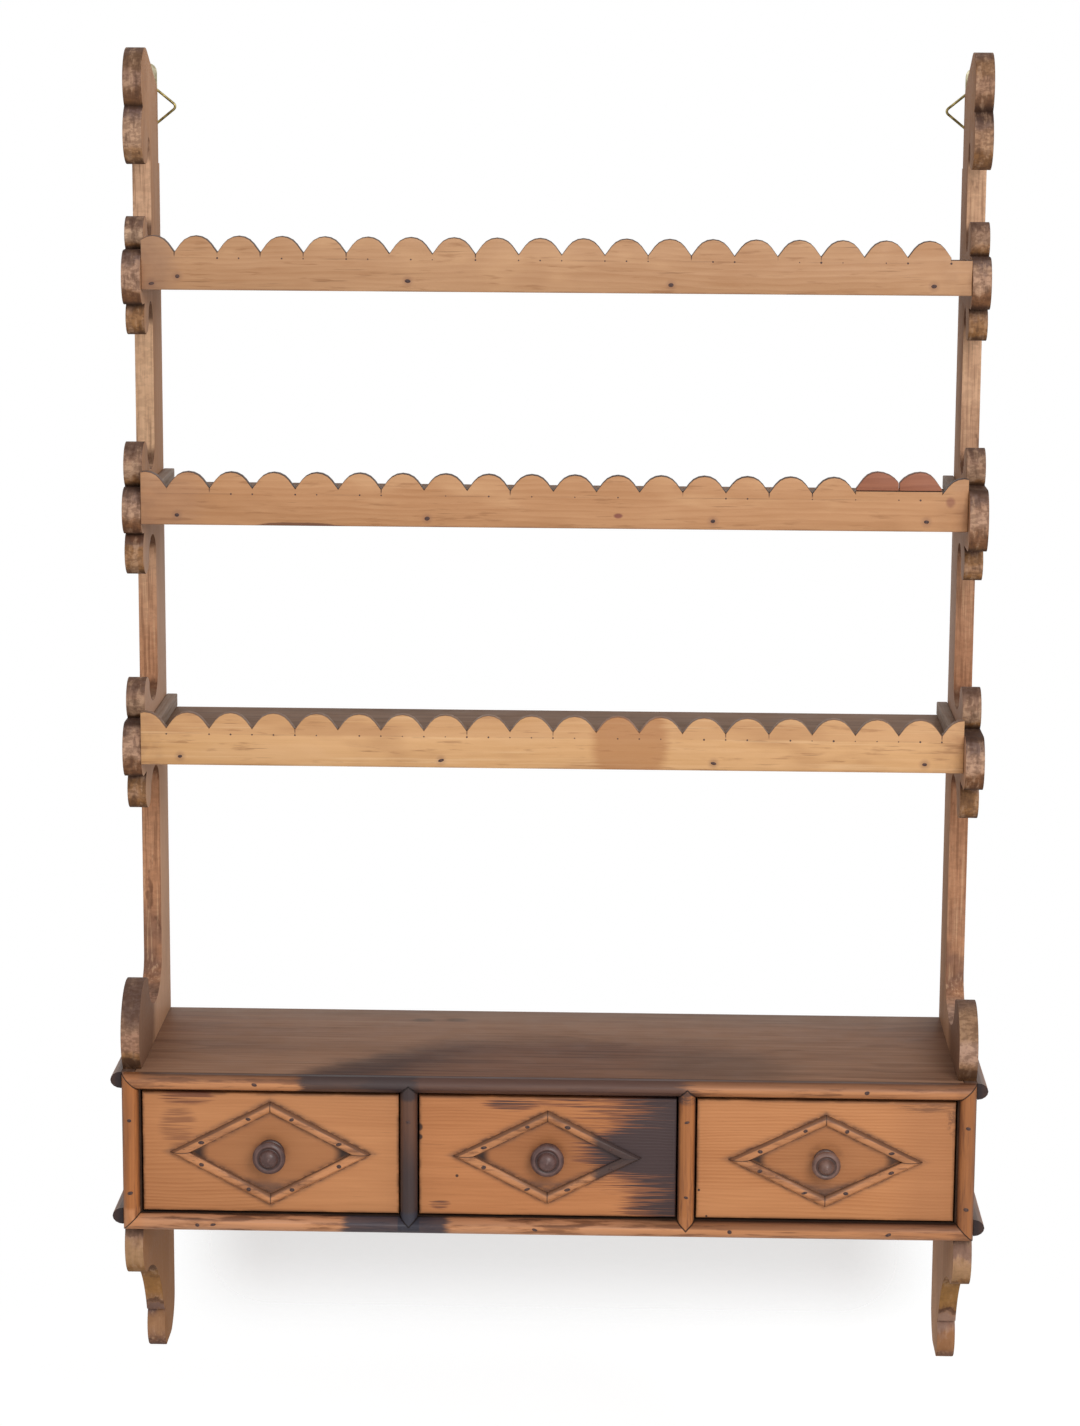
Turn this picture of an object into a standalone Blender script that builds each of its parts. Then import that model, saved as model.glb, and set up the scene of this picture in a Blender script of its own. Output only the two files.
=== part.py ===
"""Hanging wall shelf: scroll-cut sides, three galleried shelves and a case of three drawers.

Metres, +Z up. X runs across the shelf, the front faces -Y and the wall plane is Y = 0.
The origin is the middle of the rear face of the case's back board.
"""
import math

import bmesh
import bpy
from mathutils import Matrix, Vector

# Sizes of the whole
WIDTH = 0.700            # over the outer faces of the side boards
FIT = 0.0003             # gap left where one piece seats on another
CURVE_STEP = 0.005       # longest facet along a curved outline
CURVE_TURN = 22.5        # and the most it turns, in degrees

# Side boards: heights count up from the case top, depths count forward from the wall
SIDE_T = 0.0153
SIDE_TOP = 0.8255        # top of the finial
NECK = 0.055             # depth of the narrow stretches
DADO = 0.005             # depth of the housings that hold the shelves and the case
FINIAL_UPPER = (0.080, 0.0265)   # depth of the centre and radius of the upper finial disc
FINIAL_LOWER = (0.085, 0.0250)
FINIAL_OVERLAP = 0.0095
FINIAL_REAR = (0.044, 0.0305)    # drops from the top to the rear edge's start and the chamfer's end
FINIAL_CHAMFER = 0.012
FINIAL_LEAN = 112.0      # angle where the sloping top leaves the upper disc
FINIAL_HOOK = -115.0     # angle where the lower disc ends at its cove
LOBES = {                # middle lobe ahead of the gallery rail, half its height, small lobes behind it
    "left": {
        "upper": (0.0055, 0.0220, 0.0230),
        "middle": (0.0, 0.0190, 0.0130),
        "lower": (-0.0020, 0.0225, 0.0260),
    },
    "right": {
        "upper": (0.0025, 0.0210, 0.0245),
        "middle": (0.0140, 0.0250, 0.0390),
        "lower": (0.0180, 0.0220, 0.0410),
    },
}
LOBE_BULGE = 0.016       # depth of a middle lobe's rounding
LOBE_TUCK = 0.003        # how far a small lobe sinks into the middle lobe's shoulder
LOBE_LIFT = 0.001        # lobes above the middle of the shelf's edge
LOBE_TIP = 145.0         # angle where a small lobe ends at its cove
COVE = 0.019             # depth of the cove behind a small lobe
CRESTS = {               # disc that stands on the case: its radius, and its centre above the case
    "left": (0.0405, 0.0280),
    "right": (0.0360, 0.0240),
}
CREST_NOSE = 0.0025      # its front ahead of the case front
CREST_TIP = 120.0        # angle where the crest ends at its cove
CREST_COVE = 0.031
BRACKET_R = 0.029        # disc below the case
BRACKET_SET = 0.003      # its front behind the case front
BRACKET_DROP = 0.0185    # its centre below the case
BRACKET_END = -100.0     # angle where the disc gives way to the sweep
SWEEP_MIDDLE = (0.108, 0.070)    # depth, and drop below the case, half way along the sweep
FOOT_DEPTH = 0.069
FOOT_DROP = 0.158        # lowest point below the case
FOOT_R = 0.024
FOOT_NOTCH = 42.0        # angle on the foot disc where the sweep ends
FOOT_LIP = 0.007
FOOT_HEEL = 0.034        # height of the rounded heel

# Shelves: level of the underside above the case top, depth to the gallery rail's face,
# half the height of the lobes at the shelf's end
SHELF_T = 0.0164
SHELVES = {
    "upper": {"level": 0.6335, "depth": 0.126, "lobes": 0.0480},
    "middle": {"level": 0.4455, "depth": 0.148, "lobes": 0.0545},
    "lower": {"level": 0.2510, "depth": 0.168, "lobes": 0.0547},
}
CLEATED = ("middle", "lower")    # shelves with a cleat along each end
CLEAT_W = 0.009
CLEAT_H = 0.011

# Gallery rails: height of the scallops' centres above the rail's lower edge, width of one
# scallop between its notches, and how far right of the middle the row sits
RAIL_T = 0.008
RAILS = {
    "upper": {"centers": 0.0258, "width": 0.0347, "offset": 0.0050},
    "middle": {"centers": 0.0255, "width": 0.0348, "offset": 0.0},
    "lower": {"centers": 0.0256, "width": 0.0350, "offset": 0.0015},
}
SCALLOP_RISE = 0.0178    # heights of the crowns and of the notches above the centres
NOTCH_RISE = 0.0046
FLANK = 54               # slope of the straight flanks beside a notch, in degrees
RAIL_END = 0.015         # least length beyond the last notch
STEPPED = "upper"        # the rail whose right end is a plain low step
STEP_RISE = 0.0027       # its height above the scallops' centres
PATCHED = "middle"       # the rail whose last two whole scallops are replaced
PATCH_SEAT = 0.0072      # where they sit, above the scallops' centres
PATCH_EDGE = 0.0014      # heights of a patch at its outer end, at the joint and at its crown
PATCH_JOINT = 0.0064
PATCH_H = 0.015

# Case and its half-round strips
CASE_H = 0.134
CASE_DEPTH = 0.200
PANEL_T = 0.014          # case top, case bottom and partitions
BACK_T = 0.009
STRIP_W = 0.014
STRIP_PROUD = 0.009
MOULDING_LIFT = 0.0035   # lower side mouldings above the case's lower edge

# Drawers
DRAWER_SIDE_GAP = 0.0013
DRAWER_TOP_GAP = 0.0028
DRAWER_FOOT_GAP = 0.0018
DRAWER_REAR_GAP = 0.004
FRONT_T = 0.015
DRAWER_T = 0.009
DRAWER_BOTTOM_T = 0.006
DRAWER_LOW = 0.006       # sides below the opening's top
BACK_LOW = 0.006         # back below the sides
DIAMOND_W = 0.008
DIAMOND_PROUD = 0.005
DIAMONDS = {             # bare wood beside the diamond's points, and above and below them
    "left": (0.0226, 0.0067),
    "middle": (0.0281, 0.0112),
    "right": (0.0259, 0.0115),
}
KNOB_R = 0.0130
KNOB_LENGTH = 0.024
TENON_R = 0.004

# Hangers, on the rear edges of the side boards
PLATE_T = 0.0018
PLATE_W = 0.0145
PLATE_L = 0.082
PLATE_DROP = 0.0135      # top of the plate below the top of the side board
PLATE_HOLE_R = 0.0033
RECESS = 0.006           # depth of the recess that takes the plate and the ring
RING_DROP = 0.0355       # middle of the ring below the top of the plate
RING_BASE = 0.038        # length of the ring's upright side
RING_REACH = 0.0235
RING_BEND = 0.003        # radius of the ring's corners
WIRE_R = 0.0011
KNUCKLE_R = 0.0022
KNUCKLE_L = 0.016
SCREW_R = 0.0015
SCREW_HEAD_R = 0.0034
SCREW_HEAD_H = 0.0014
SCREW_L = 0.016
SCREW_RISE = 0.007       # lower screw above the lower end of the plate
SCREW_SPACING = 0.012

# Levels and faces that several pieces share
CASE_TOP = CASE_H / 2
CASE_BOTTOM = -CASE_H / 2
INNER = WIDTH / 2 - SIDE_T
ROOF = CASE_TOP - PANEL_T
FLOOR = CASE_BOTTOM + PANEL_T
OPENING_W = (2 * INNER - 2 * PANEL_T) / 3
PARTITION_X = (OPENING_W + PANEL_T) / 2
DRAWER_X = {"left": -(OPENING_W + PANEL_T), "middle": 0.0, "right": OPENING_W + PANEL_T}
SIDES = {"left": -1, "right": 1}
HANGER_X = WIDTH / 2 - SIDE_T / 2
PLATE_TOP = SIDE_TOP - PLATE_DROP
PLATE_BOTTOM = PLATE_TOP - PLATE_L
RING_HEIGHT = PLATE_TOP - RING_DROP
SCREW_HEIGHTS = {"lower": PLATE_BOTTOM + SCREW_RISE, "upper": PLATE_BOTTOM + SCREW_RISE + SCREW_SPACING}
PLATE_FRONT = -RECESS + FIT
PLATE_REAR = PLATE_FRONT + PLATE_T
HINGE_Y = -KNUCKLE_R

for leftover in list(bpy.data.objects):
    bpy.data.objects.remove(leftover)

parts = bpy.data.collections.new("hanging_shelf")
cutters = bpy.data.collections.new("cutters")
bpy.context.scene.collection.children.link(parts)
bpy.context.scene.collection.children.link(cutters)


def make_material(name, color, roughness, metallic=0.0):
    material = bpy.data.materials.new(name)
    material.use_nodes = True
    shader = material.node_tree.nodes["Principled BSDF"]
    shader.inputs["Base Color"].default_value = (*color, 1.0)
    shader.inputs["Roughness"].default_value = roughness
    shader.inputs["Metallic"].default_value = metallic
    return material


SIDE_PINE = make_material("side_pine", (0.36, 0.20, 0.10), 0.55)
SHELF_PINE = make_material("shelf_pine", (0.24, 0.15, 0.09), 0.60)
RAIL_PINE = make_material("rail_pine", (0.55, 0.33, 0.16), 0.55)
PATCH_WOOD = make_material("patch_wood", (0.30, 0.12, 0.06), 0.55)
CASE_PINE = make_material("case_pine", (0.16, 0.10, 0.07), 0.60)
STRIP_PINE = make_material("strip_pine", (0.38, 0.17, 0.07), 0.50)
DRAWER_PINE = make_material("drawer_pine", (0.53, 0.25, 0.09), 0.50)
BOX_PINE = make_material("drawer_box_pine", (0.50, 0.33, 0.18), 0.70)
KNOB_WOOD = make_material("knob_wood", (0.09, 0.035, 0.02), 0.40)
PLATE_METAL = make_material("plate_metal", (0.55, 0.50, 0.36), 0.40, 1.0)
RING_METAL = make_material("ring_metal", (0.30, 0.24, 0.12), 0.40, 1.0)
SCREW_STEEL = make_material("screw_steel", (0.30, 0.29, 0.27), 0.45, 1.0)


# Shape helpers

def add_object(name, mesh, material, collection=None):
    item = bpy.data.objects.new(name, mesh)
    (collection or parts).objects.link(item)
    if material:
        mesh.materials.clear()
        mesh.materials.append(material)
    return item


def add_board(name, low, high, material, collection=None):
    """A straight board between two opposite corners, with its origin in its middle."""
    low = Vector(low)
    high = Vector(high)
    mesh = bpy.data.meshes.new(name)
    shape = bmesh.new()
    bmesh.ops.create_cube(shape, size=1.0, matrix=Matrix.Diagonal((*(high - low), 1.0)))
    shape.to_mesh(mesh)
    shape.free()
    board = add_object(name, mesh, material, collection)
    board.location = (low + high) / 2
    return board


def add_outline(name, loops, thickness, rotation, location, material):
    """A flat outline, with holes if there is more than one loop, extruded both ways and made a mesh."""
    curve = bpy.data.curves.new(name, "CURVE")
    curve.dimensions = "2D"
    curve.fill_mode = "BOTH"
    curve.extrude = thickness / 2
    for loop in loops:
        spline = curve.splines.new("POLY")
        spline.points.add(len(loop) - 1)
        for point, (u, v) in zip(spline.points, loop):
            point.co = (u, v, 0.0, 1.0)
        spline.use_cyclic_u = True
    drawn = bpy.data.objects.new(name + "_outline", curve)
    parts.objects.link(drawn)
    piece = add_object(name, welded_mesh(drawn, name), material)
    piece.rotation_euler = rotation
    piece.location = location
    return piece


def welded_mesh(drawn, name):
    """The mesh of a curve object with its loose caps welded; the curve is removed."""
    evaluated = drawn.evaluated_get(bpy.context.evaluated_depsgraph_get())
    mesh = bpy.data.meshes.new_from_object(evaluated)
    mesh.name = name
    shape = bmesh.new()
    shape.from_mesh(mesh)
    bmesh.ops.remove_doubles(shape, verts=shape.verts, dist=1e-6)
    bmesh.ops.recalc_face_normals(shape, faces=shape.faces)
    shape.to_mesh(mesh)
    shape.free()
    bpy.data.objects.remove(drawn)
    return mesh


def cut(piece, cutter, operation="DIFFERENCE"):
    cutter.hide_render = True
    cutter.display_type = "WIRE"
    modifier = piece.modifiers.new(cutter.name, "BOOLEAN")
    modifier.operation = operation
    modifier.solver = "EXACT"
    modifier.object = cutter


def round_cutter(name, radius, length, axis, location):
    """A cylinder in the cutters' collection, along Y or Z."""
    mesh = bpy.data.meshes.new(name)
    shape = bmesh.new()
    bmesh.ops.create_cone(shape, cap_ends=True, segments=20, radius1=radius, radius2=radius, depth=length)
    shape.to_mesh(mesh)
    shape.free()
    cutter = add_object(name, mesh, None, cutters)
    cutter.location = location
    if axis == "Y":
        cutter.rotation_euler = (math.pi / 2, 0, 0)
    return cutter


def trim(mesh, point, normal):
    """Cuts away what lies beyond a plane and closes the cut."""
    shape = bmesh.new()
    shape.from_mesh(mesh)
    everything = shape.verts[:] + shape.edges[:] + shape.faces[:]
    found = bmesh.ops.bisect_plane(shape, geom=everything, plane_co=point, plane_no=normal, clear_outer=True)
    rim = [item for item in found["geom_cut"] if isinstance(item, bmesh.types.BMEdge)]
    bmesh.ops.edgenet_fill(shape, edges=rim)
    bmesh.ops.recalc_face_normals(shape, faces=shape.faces)
    shape.to_mesh(mesh)
    shape.free()


def add_turned(name, profile, location, material, steps):
    """A turned piece from (radius, forward) points, with its axis along -Y."""
    mesh = bpy.data.meshes.new(name)
    points = [(radius, 0.0, forward) for radius, forward in profile]
    mesh.from_pydata(points, [(i, i + 1) for i in range(len(points) - 1)], [])
    piece = add_object(name, mesh, material)
    piece.rotation_euler = (math.pi / 2, 0, 0)
    piece.location = location
    lathe = piece.modifiers.new("lathe", "SCREW")
    lathe.axis = "Z"
    lathe.steps = steps
    lathe.render_steps = steps
    lathe.use_merge_vertices = True
    lathe.merge_threshold = 0.00005
    lathe.use_normal_calculate = True
    return piece


# Outline helpers: points are (depth, height) pairs and angles are degrees from straight forward

def ellipse(center, wide, high, start, stop):
    length = math.radians(abs(stop - start)) * (wide + high) / 2
    count = max(round(length / CURVE_STEP), math.ceil(abs(stop - start) / CURVE_TURN))
    points = []
    for i in range(count + 1):
        turn = math.radians(start + (stop - start) * i / count)
        points.append((center[0] + wide * math.cos(turn), center[1] + high * math.sin(turn)))
    return points


def disc(center, radius, start, stop):
    return ellipse(center, radius, radius, start, stop)


def hole(center, radius):
    return disc(center, radius, 0, 360)[:-1]


def angle_to(center, point):
    return math.degrees(math.atan2(point[1] - center[1], point[0] - center[0]))


def arc_through(first, middle, last):
    """Points on the circle through three points, from the first to the last."""
    (ax, ay), (bx, by), (cx, cy) = first, middle, last
    double_area = 2 * (ax * (by - cy) + bx * (cy - ay) + cx * (ay - by))
    a2 = ax * ax + ay * ay
    b2 = bx * bx + by * by
    c2 = cx * cx + cy * cy
    center = ((a2 * (by - cy) + b2 * (cy - ay) + c2 * (ay - by)) / double_area,
              (a2 * (cx - bx) + b2 * (ax - cx) + c2 * (bx - ax)) / double_area)
    start = angle_to(center, first)
    turn = (angle_to(center, last) - start + 180) % 360 - 180
    return disc(center, math.dist(center, first), start, start + turn)


def front_crossing(center_a, radius_a, center_b, radius_b):
    """The crossing of two circles that lies further forward."""
    apart = math.dist(center_a, center_b)
    along = (apart ** 2 + radius_a ** 2 - radius_b ** 2) / (2 * apart)
    aside = math.sqrt(radius_a ** 2 - along ** 2)
    ux = (center_b[0] - center_a[0]) / apart
    uy = (center_b[1] - center_a[1]) / apart
    base = (center_a[0] + ux * along, center_a[1] + uy * along)
    choices = [(base[0] - uy * aside, base[1] + ux * aside), (base[0] + uy * aside, base[1] - ux * aside)]
    return max(choices)


def cove(tip, rise):
    """A hollow from the narrow edge to a lobe's tip; a negative rise dips."""
    half = (tip[0] - NECK) / 2
    stop = 0 if rise > 0 else 360
    return ellipse((NECK + half, tip[1]), half, abs(rise), 180, stop)


def finial_outline():
    upper_r = FINIAL_UPPER[1]
    lower_r = FINIAL_LOWER[1]
    upper = (FINIAL_UPPER[0], SIDE_TOP - upper_r)
    lower = (FINIAL_LOWER[0], upper[1] - upper_r - lower_r + FINIAL_OVERLAP)
    notch = front_crossing(upper, upper_r, lower, lower_r)
    points = [(0.0, SIDE_TOP - FINIAL_REAR[0]), (FINIAL_CHAMFER, SIDE_TOP - FINIAL_REAR[1])]
    points += disc(upper, upper_r, FINIAL_LEAN, angle_to(upper, notch))
    points += disc(lower, lower_r, angle_to(lower, notch), FINIAL_HOOK)[1:]
    return points + cove(points[-1], COVE)[::-1][1:]


def trefoil_outline(level, depth, half, lobes):
    """Three lobes round a shelf's end, with a cove above and below them."""
    middle = level + SHELF_T / 2 + LOBE_LIFT
    proud, nose_half, set_back = lobes
    nose = depth + proud
    small_r = (half - nose_half + LOBE_TUCK) / 2
    small_depth = nose - set_back - small_r
    small_rise = half - small_r
    shoulder = -math.degrees(math.asin(1 - LOBE_TUCK / small_r))
    above = disc((small_depth, middle + small_rise), small_r, LOBE_TIP, shoulder)
    below = disc((small_depth, middle - small_rise), small_r, -shoulder, -LOBE_TIP)
    front = ellipse((nose - LOBE_BULGE, middle), LOBE_BULGE, nose_half, 90, -90)
    points = cove(above[0], -COVE) + above[1:] + front + below
    return points + cove(below[-1], COVE)[::-1][1:]


def crest_outline(radius, rise):
    """The crest that stands on the case, from its cove to the case's front."""
    center = (CASE_DEPTH + CREST_NOSE - radius, rise)
    crest = disc(center, radius, CREST_TIP, -math.degrees(math.asin(rise / radius)))
    return cove(crest[0], -CREST_COVE) + crest[1:] + [(CASE_DEPTH, 0.0)]


def bracket_outline():
    """The bracket and foot below the case, from the case's front to the rear edge."""
    center = (CASE_DEPTH - BRACKET_SET - BRACKET_R, -CASE_H - BRACKET_DROP)
    start = math.degrees(math.asin(BRACKET_DROP / BRACKET_R))
    points = [(CASE_DEPTH, -CASE_H)]
    points += disc(center, BRACKET_R, start, BRACKET_END)
    foot = (FOOT_DEPTH - FOOT_R, -CASE_H - FOOT_DROP + FOOT_R)
    toe = disc(foot, FOOT_R, FOOT_NOTCH, -90)
    lip = (toe[0][0] + FOOT_LIP, toe[0][1])
    points += arc_through(points[-1], (SWEEP_MIDDLE[0], -CASE_H - SWEEP_MIDDLE[1]), lip)[1:]
    points += toe
    heel_center = (foot[0], foot[1] - FOOT_R + FOOT_HEEL)
    return points + ellipse(heel_center, foot[0], FOOT_HEEL, -90, -180)[1:]


def side_outline(side):
    points = finial_outline()
    for name, shelf in SHELVES.items():
        points += trefoil_outline(shelf["level"], shelf["depth"], shelf["lobes"], LOBES[side][name])
    return points + crest_outline(*CRESTS[side]) + bracket_outline()


def dome(middle, half, left, crown, right):
    """A dome's edge from left to right: a round crown, with straight flanks where there is room."""
    edge = [(middle - half, left)]
    for low, sign in ((left, 1), (right, -1)):
        drop = crown - low
        slope = min(math.radians(FLANK), 2 * math.atan2(drop, half))
        radius = (half * math.sin(slope) - drop * math.cos(slope)) / (1 - math.cos(slope))
        ends = sorted((90, 90 + sign * math.degrees(slope)), reverse=True)
        edge += disc((middle, crown - radius), radius, *ends)
    return [*edge, (middle + half, right)]


def scallop(middle, line, half):
    """One scallop's top edge, from notch to notch."""
    return dome(middle, half, line + NOTCH_RISE, line + SCALLOP_RISE, line + NOTCH_RISE)


def distinct(points):
    """A closed outline without the points that fall on the next one."""
    following = points[1:] + points[:1]
    return [point for point, after in zip(points, following) if math.dist(point, after) > FIT / 100]


def height_at(edge, place):
    """Height of an edge that runs from left to right, at one place along it."""
    for (left, low), (right, high) in zip(edge, edge[1:]):
        if left <= place < right:
            return low + (high - low) * (place - left) / (right - left)


def notches_of(name):
    """Places along a rail where its scallops meet: as many as leave the rail's ends long enough."""
    width = RAILS[name]["width"]
    count = math.floor(2 * (INNER - RAIL_END) / width)
    return [RAILS[name]["offset"] + width * (i - count / 2) for i in range(count + 1)]


def rail_outline(name):
    """A rail's outline from its lower right corner, with heights above its lower edge."""
    end = INNER - FIT
    line = RAILS[name]["centers"]
    half = RAILS[name]["width"] / 2
    notches = notches_of(name)
    edge = [(-WIDTH, line + NOTCH_RISE), *scallop(notches[0] - half, line, half)]
    for start, stop in zip(notches, notches[1:]):
        if name == PATCHED and start in notches[-3:]:
            edge += [(start, line + PATCH_SEAT), (stop, line + PATCH_SEAT)]
        else:
            edge += scallop(start + half, line, half)
    if name == STEPPED:
        edge += [(notches[-1], line + STEP_RISE), (WIDTH, line + STEP_RISE)]
    else:
        edge += [*scallop(notches[-1] + half, line, half), (WIDTH, line + NOTCH_RISE)]
    kept = [point for point in edge if -end < point[0] < end]
    left, right = (-end, height_at(edge, -end)), (end, height_at(edge, end))
    return distinct([(end, 0.0), (-end, 0.0), left, *kept, right])


# Side boards

def build_side(name, sign):
    place = (sign * (WIDTH / 2 - SIDE_T / 2), 0.0, CASE_TOP)
    turned = (math.pi / 2, 0, -math.pi / 2)
    side = add_outline("side_" + name, [side_outline(name)], SIDE_T, turned, place, SIDE_PINE)
    housings = [(CASE_TOP + shelf["level"], SHELF_T, shelf["depth"] - RAIL_T) for shelf in SHELVES.values()]
    housings += [(ROOF, PANEL_T, CASE_DEPTH), (CASE_BOTTOM, PANEL_T, CASE_DEPTH)]
    for number, (under, thickness, depth) in enumerate(housings):
        near = sign * (INNER - DADO)
        far = sign * (INNER + DADO)
        low = (min(near, far), -depth, under - FIT)
        high = (max(near, far), DADO, under + thickness + FIT)
        cut(side, add_board(f"housing_{name}_{number}", low, high, None, cutters))
    low = (sign * HANGER_X - SIDE_T, -RECESS, CASE_TOP + PLATE_BOTTOM - FIT)
    high = (sign * HANGER_X + SIDE_T, RECESS, CASE_TOP + SIDE_TOP + SIDE_T)
    cut(side, add_board("recess_" + name, low, high, None, cutters))
    for place_name, height in SCREW_HEIGHTS.items():
        spot = (sign * HANGER_X, -RECESS, CASE_TOP + height)
        pilot = round_cutter(f"pilot_{name}_{place_name}", SCREW_R + FIT, 2 * (SCREW_L + FIT), "Y", spot)
        cut(side, pilot)


for side_name, side_sign in SIDES.items():
    build_side(side_name, side_sign)


# Shelves, cleats and gallery rails

def build_shelf(name, level, depth):
    under = CASE_TOP + level
    reach = INNER + DADO - FIT
    top = under + SHELF_T
    front = -(depth - RAIL_T - FIT)
    add_board("shelf_" + name, (-reach, front, under), (reach, 0.0, top), SHELF_PINE)
    place = (0.0, -depth + RAIL_T / 2, under)
    add_outline("gallery_" + name, [rail_outline(name)], RAIL_T, (math.pi / 2, 0, 0), place, RAIL_PINE)
    if name not in CLEATED:
        return
    for side, sign in SIDES.items():
        outer = sign * (INNER - FIT)
        inner = outer - sign * CLEAT_W
        low = (min(outer, inner), front, top + FIT)
        high = (max(outer, inner), 0.0, top + FIT + CLEAT_H)
        add_board(f"cleat_{name}_{side}", low, high, SHELF_PINE)


def build_patches(level, depth):
    """The two caps of other wood that replace scallops on one rail."""
    seat = RAILS[PATCHED]["centers"] + PATCH_SEAT + FIT
    half = RAILS[PATCHED]["width"] / 2 - FIT
    start, joint, stop = notches_of(PATCHED)[-3:]
    ends = {
        "inner": ((start + joint) / 2, PATCH_EDGE, PATCH_JOINT),
        "outer": ((joint + stop) / 2, PATCH_JOINT, PATCH_EDGE),
    }
    for number, (middle, left, right) in ends.items():
        cap = dome(middle, half, seat + left, seat + PATCH_H, seat + right)
        cap += [(middle + half, seat), (middle - half, seat)]
        place = (0.0, -depth + RAIL_T / 2, CASE_TOP + level)
        add_outline("gallery_patch_" + number, [distinct(cap)], RAIL_T, (math.pi / 2, 0, 0), place, PATCH_WOOD)


for shelf_name, shelf_sizes in SHELVES.items():
    build_shelf(shelf_name, shelf_sizes["level"], shelf_sizes["depth"])
build_patches(SHELVES[PATCHED]["level"], SHELVES[PATCHED]["depth"])


# Case

def build_case():
    reach = INNER + DADO - FIT
    inside = INNER - FIT
    front = -CASE_DEPTH
    add_board("case_top", (-reach, front, ROOF), (reach, 0.0, CASE_TOP), CASE_PINE)
    add_board("case_bottom", (-reach, front, CASE_BOTTOM), (reach, 0.0, FLOOR), CASE_PINE)
    add_board("case_back", (-inside, -BACK_T, FLOOR + FIT), (inside, 0.0, ROOF - FIT), CASE_PINE)
    for side, sign in SIDES.items():
        middle = sign * PARTITION_X
        low = (middle - PANEL_T / 2, front, FLOOR + FIT)
        high = (middle + PANEL_T / 2, -BACK_T - FIT, ROOF - FIT)
        add_board("partition_" + side, low, high, CASE_PINE)


build_case()


# Half-round strips

def half_round(name, start, end, out, cuts=()):
    """A half-round strip whose flat back runs from start to end, proud along out, trimmed by planes."""
    start = Vector(start)
    end = Vector(end)
    run = (end - start).normalized()
    out = Vector(out)
    across = out.cross(run)
    section = ellipse((0.0, 0.0), STRIP_W / 2, STRIP_PROUD, 0, 180)
    middle = (start + end) / 2
    strip = add_outline(name, [section], (end - start).length, (0, 0, 0), (0, 0, 0), STRIP_PINE)
    frame = Matrix((across, out, run)).transposed().to_4x4()
    strip.data.transform(frame)
    for point, normal in cuts:
        trim(strip.data, Vector(point) - middle, Vector(normal))
    strip.location = middle
    return strip


def build_front_frame():
    """Four mitred strips round the drawers, and two with pointed ends over the partitions."""
    plane = -CASE_DEPTH - FIT
    edge = WIDTH / 2
    half = STRIP_W / 2
    ease = FIT / math.sqrt(2)
    front = (0, -1, 0)
    for name, level, up in (("top", CASE_TOP, 1), ("bottom", CASE_BOTTOM, -1)):
        line = level - up * half
        cuts = [((sign * (edge - ease), plane, level), (sign, 0, -up)) for sign in SIDES.values()]
        strip = half_round("front_strip_" + name, (-edge, plane, line), (edge, plane, line), front, cuts)
        for side, sign in SIDES.items():
            notch_at = (sign * PARTITION_X, plane, level - up * STRIP_W)
            cut(strip, point_cutter(f"notch_{name}_{side}", notch_at))
    for side, sign in SIDES.items():
        across = sign * (edge - half)
        cuts = [((sign * edge, plane, CASE_TOP - ease), (-sign, 0, 1))]
        cuts += [((sign * edge, plane, CASE_BOTTOM + ease), (-sign, 0, -1))]
        low = (across, plane, CASE_BOTTOM)
        half_round("front_strip_" + side, low, (across, plane, CASE_TOP), front, cuts)
        middle = sign * PARTITION_X
        tip = STRIP_W - half
        low = (middle, plane, CASE_BOTTOM + tip)
        high = (middle, plane, CASE_TOP - tip)
        cuts = [(high, (lean, 0, 1)) for lean in (-1, 1)] + [(low, (lean, 0, -1)) for lean in (-1, 1)]
        half_round("partition_strip_" + side, low, high, front, cuts)


def point_cutter(name, place):
    """A square prism standing on its edge, which lets a pointed strip end into its neighbour."""
    size = (STRIP_W / 2 + FIT * math.sqrt(2)) * math.sqrt(2)
    depth = 4 * STRIP_PROUD
    low = Vector(place) - Vector((size / 2, depth / 2, size / 2))
    high = Vector(place) + Vector((size / 2, depth / 2, size / 2))
    cutter = add_board(name, low, high, None, cutters)
    cutter.rotation_euler = (0, math.pi / 4, 0)
    return cutter


def build_side_mouldings():
    for side, sign in SIDES.items():
        face = sign * (WIDTH / 2 + FIT)
        levels = {"top": CASE_TOP - STRIP_W / 2, "bottom": CASE_BOTTOM + STRIP_W / 2 + MOULDING_LIFT}
        for name, level in levels.items():
            rear = (face, 0.0, level)
            half_round(f"side_moulding_{name}_{side}", rear, (face, -CASE_DEPTH, level), (sign, 0, 0))


build_front_frame()
build_side_mouldings()


# Drawers

def diamond_frame(name, half_w, half_h, place):
    """A mitred diamond of half-round strip: one ring of four corners for each point of its section."""
    inradius = half_w * half_h / math.hypot(half_w, half_h)
    section = ellipse((DIAMOND_W / 2, 0.0), DIAMOND_W / 2, DIAMOND_PROUD, 180, 0)
    mesh = bpy.data.meshes.new(name)
    shape = bmesh.new()
    rings = []
    for inset, proud in section:
        shrink = 1 - inset / inradius
        corners = ((-half_w, 0), (0, -half_h), (half_w, 0), (0, half_h))
        rings.append([shape.verts.new((x * shrink, -proud, z * shrink)) for x, z in corners])
    for here, there in zip(rings, rings[1:] + rings[:1]):
        for i in range(4):
            j = (i + 1) % 4
            shape.faces.new((here[i], here[j], there[j], there[i]))
    bmesh.ops.recalc_face_normals(shape, faces=shape.faces)
    shape.to_mesh(mesh)
    shape.free()
    frame = add_object(name, mesh, STRIP_PINE)
    frame.location = place


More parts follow.
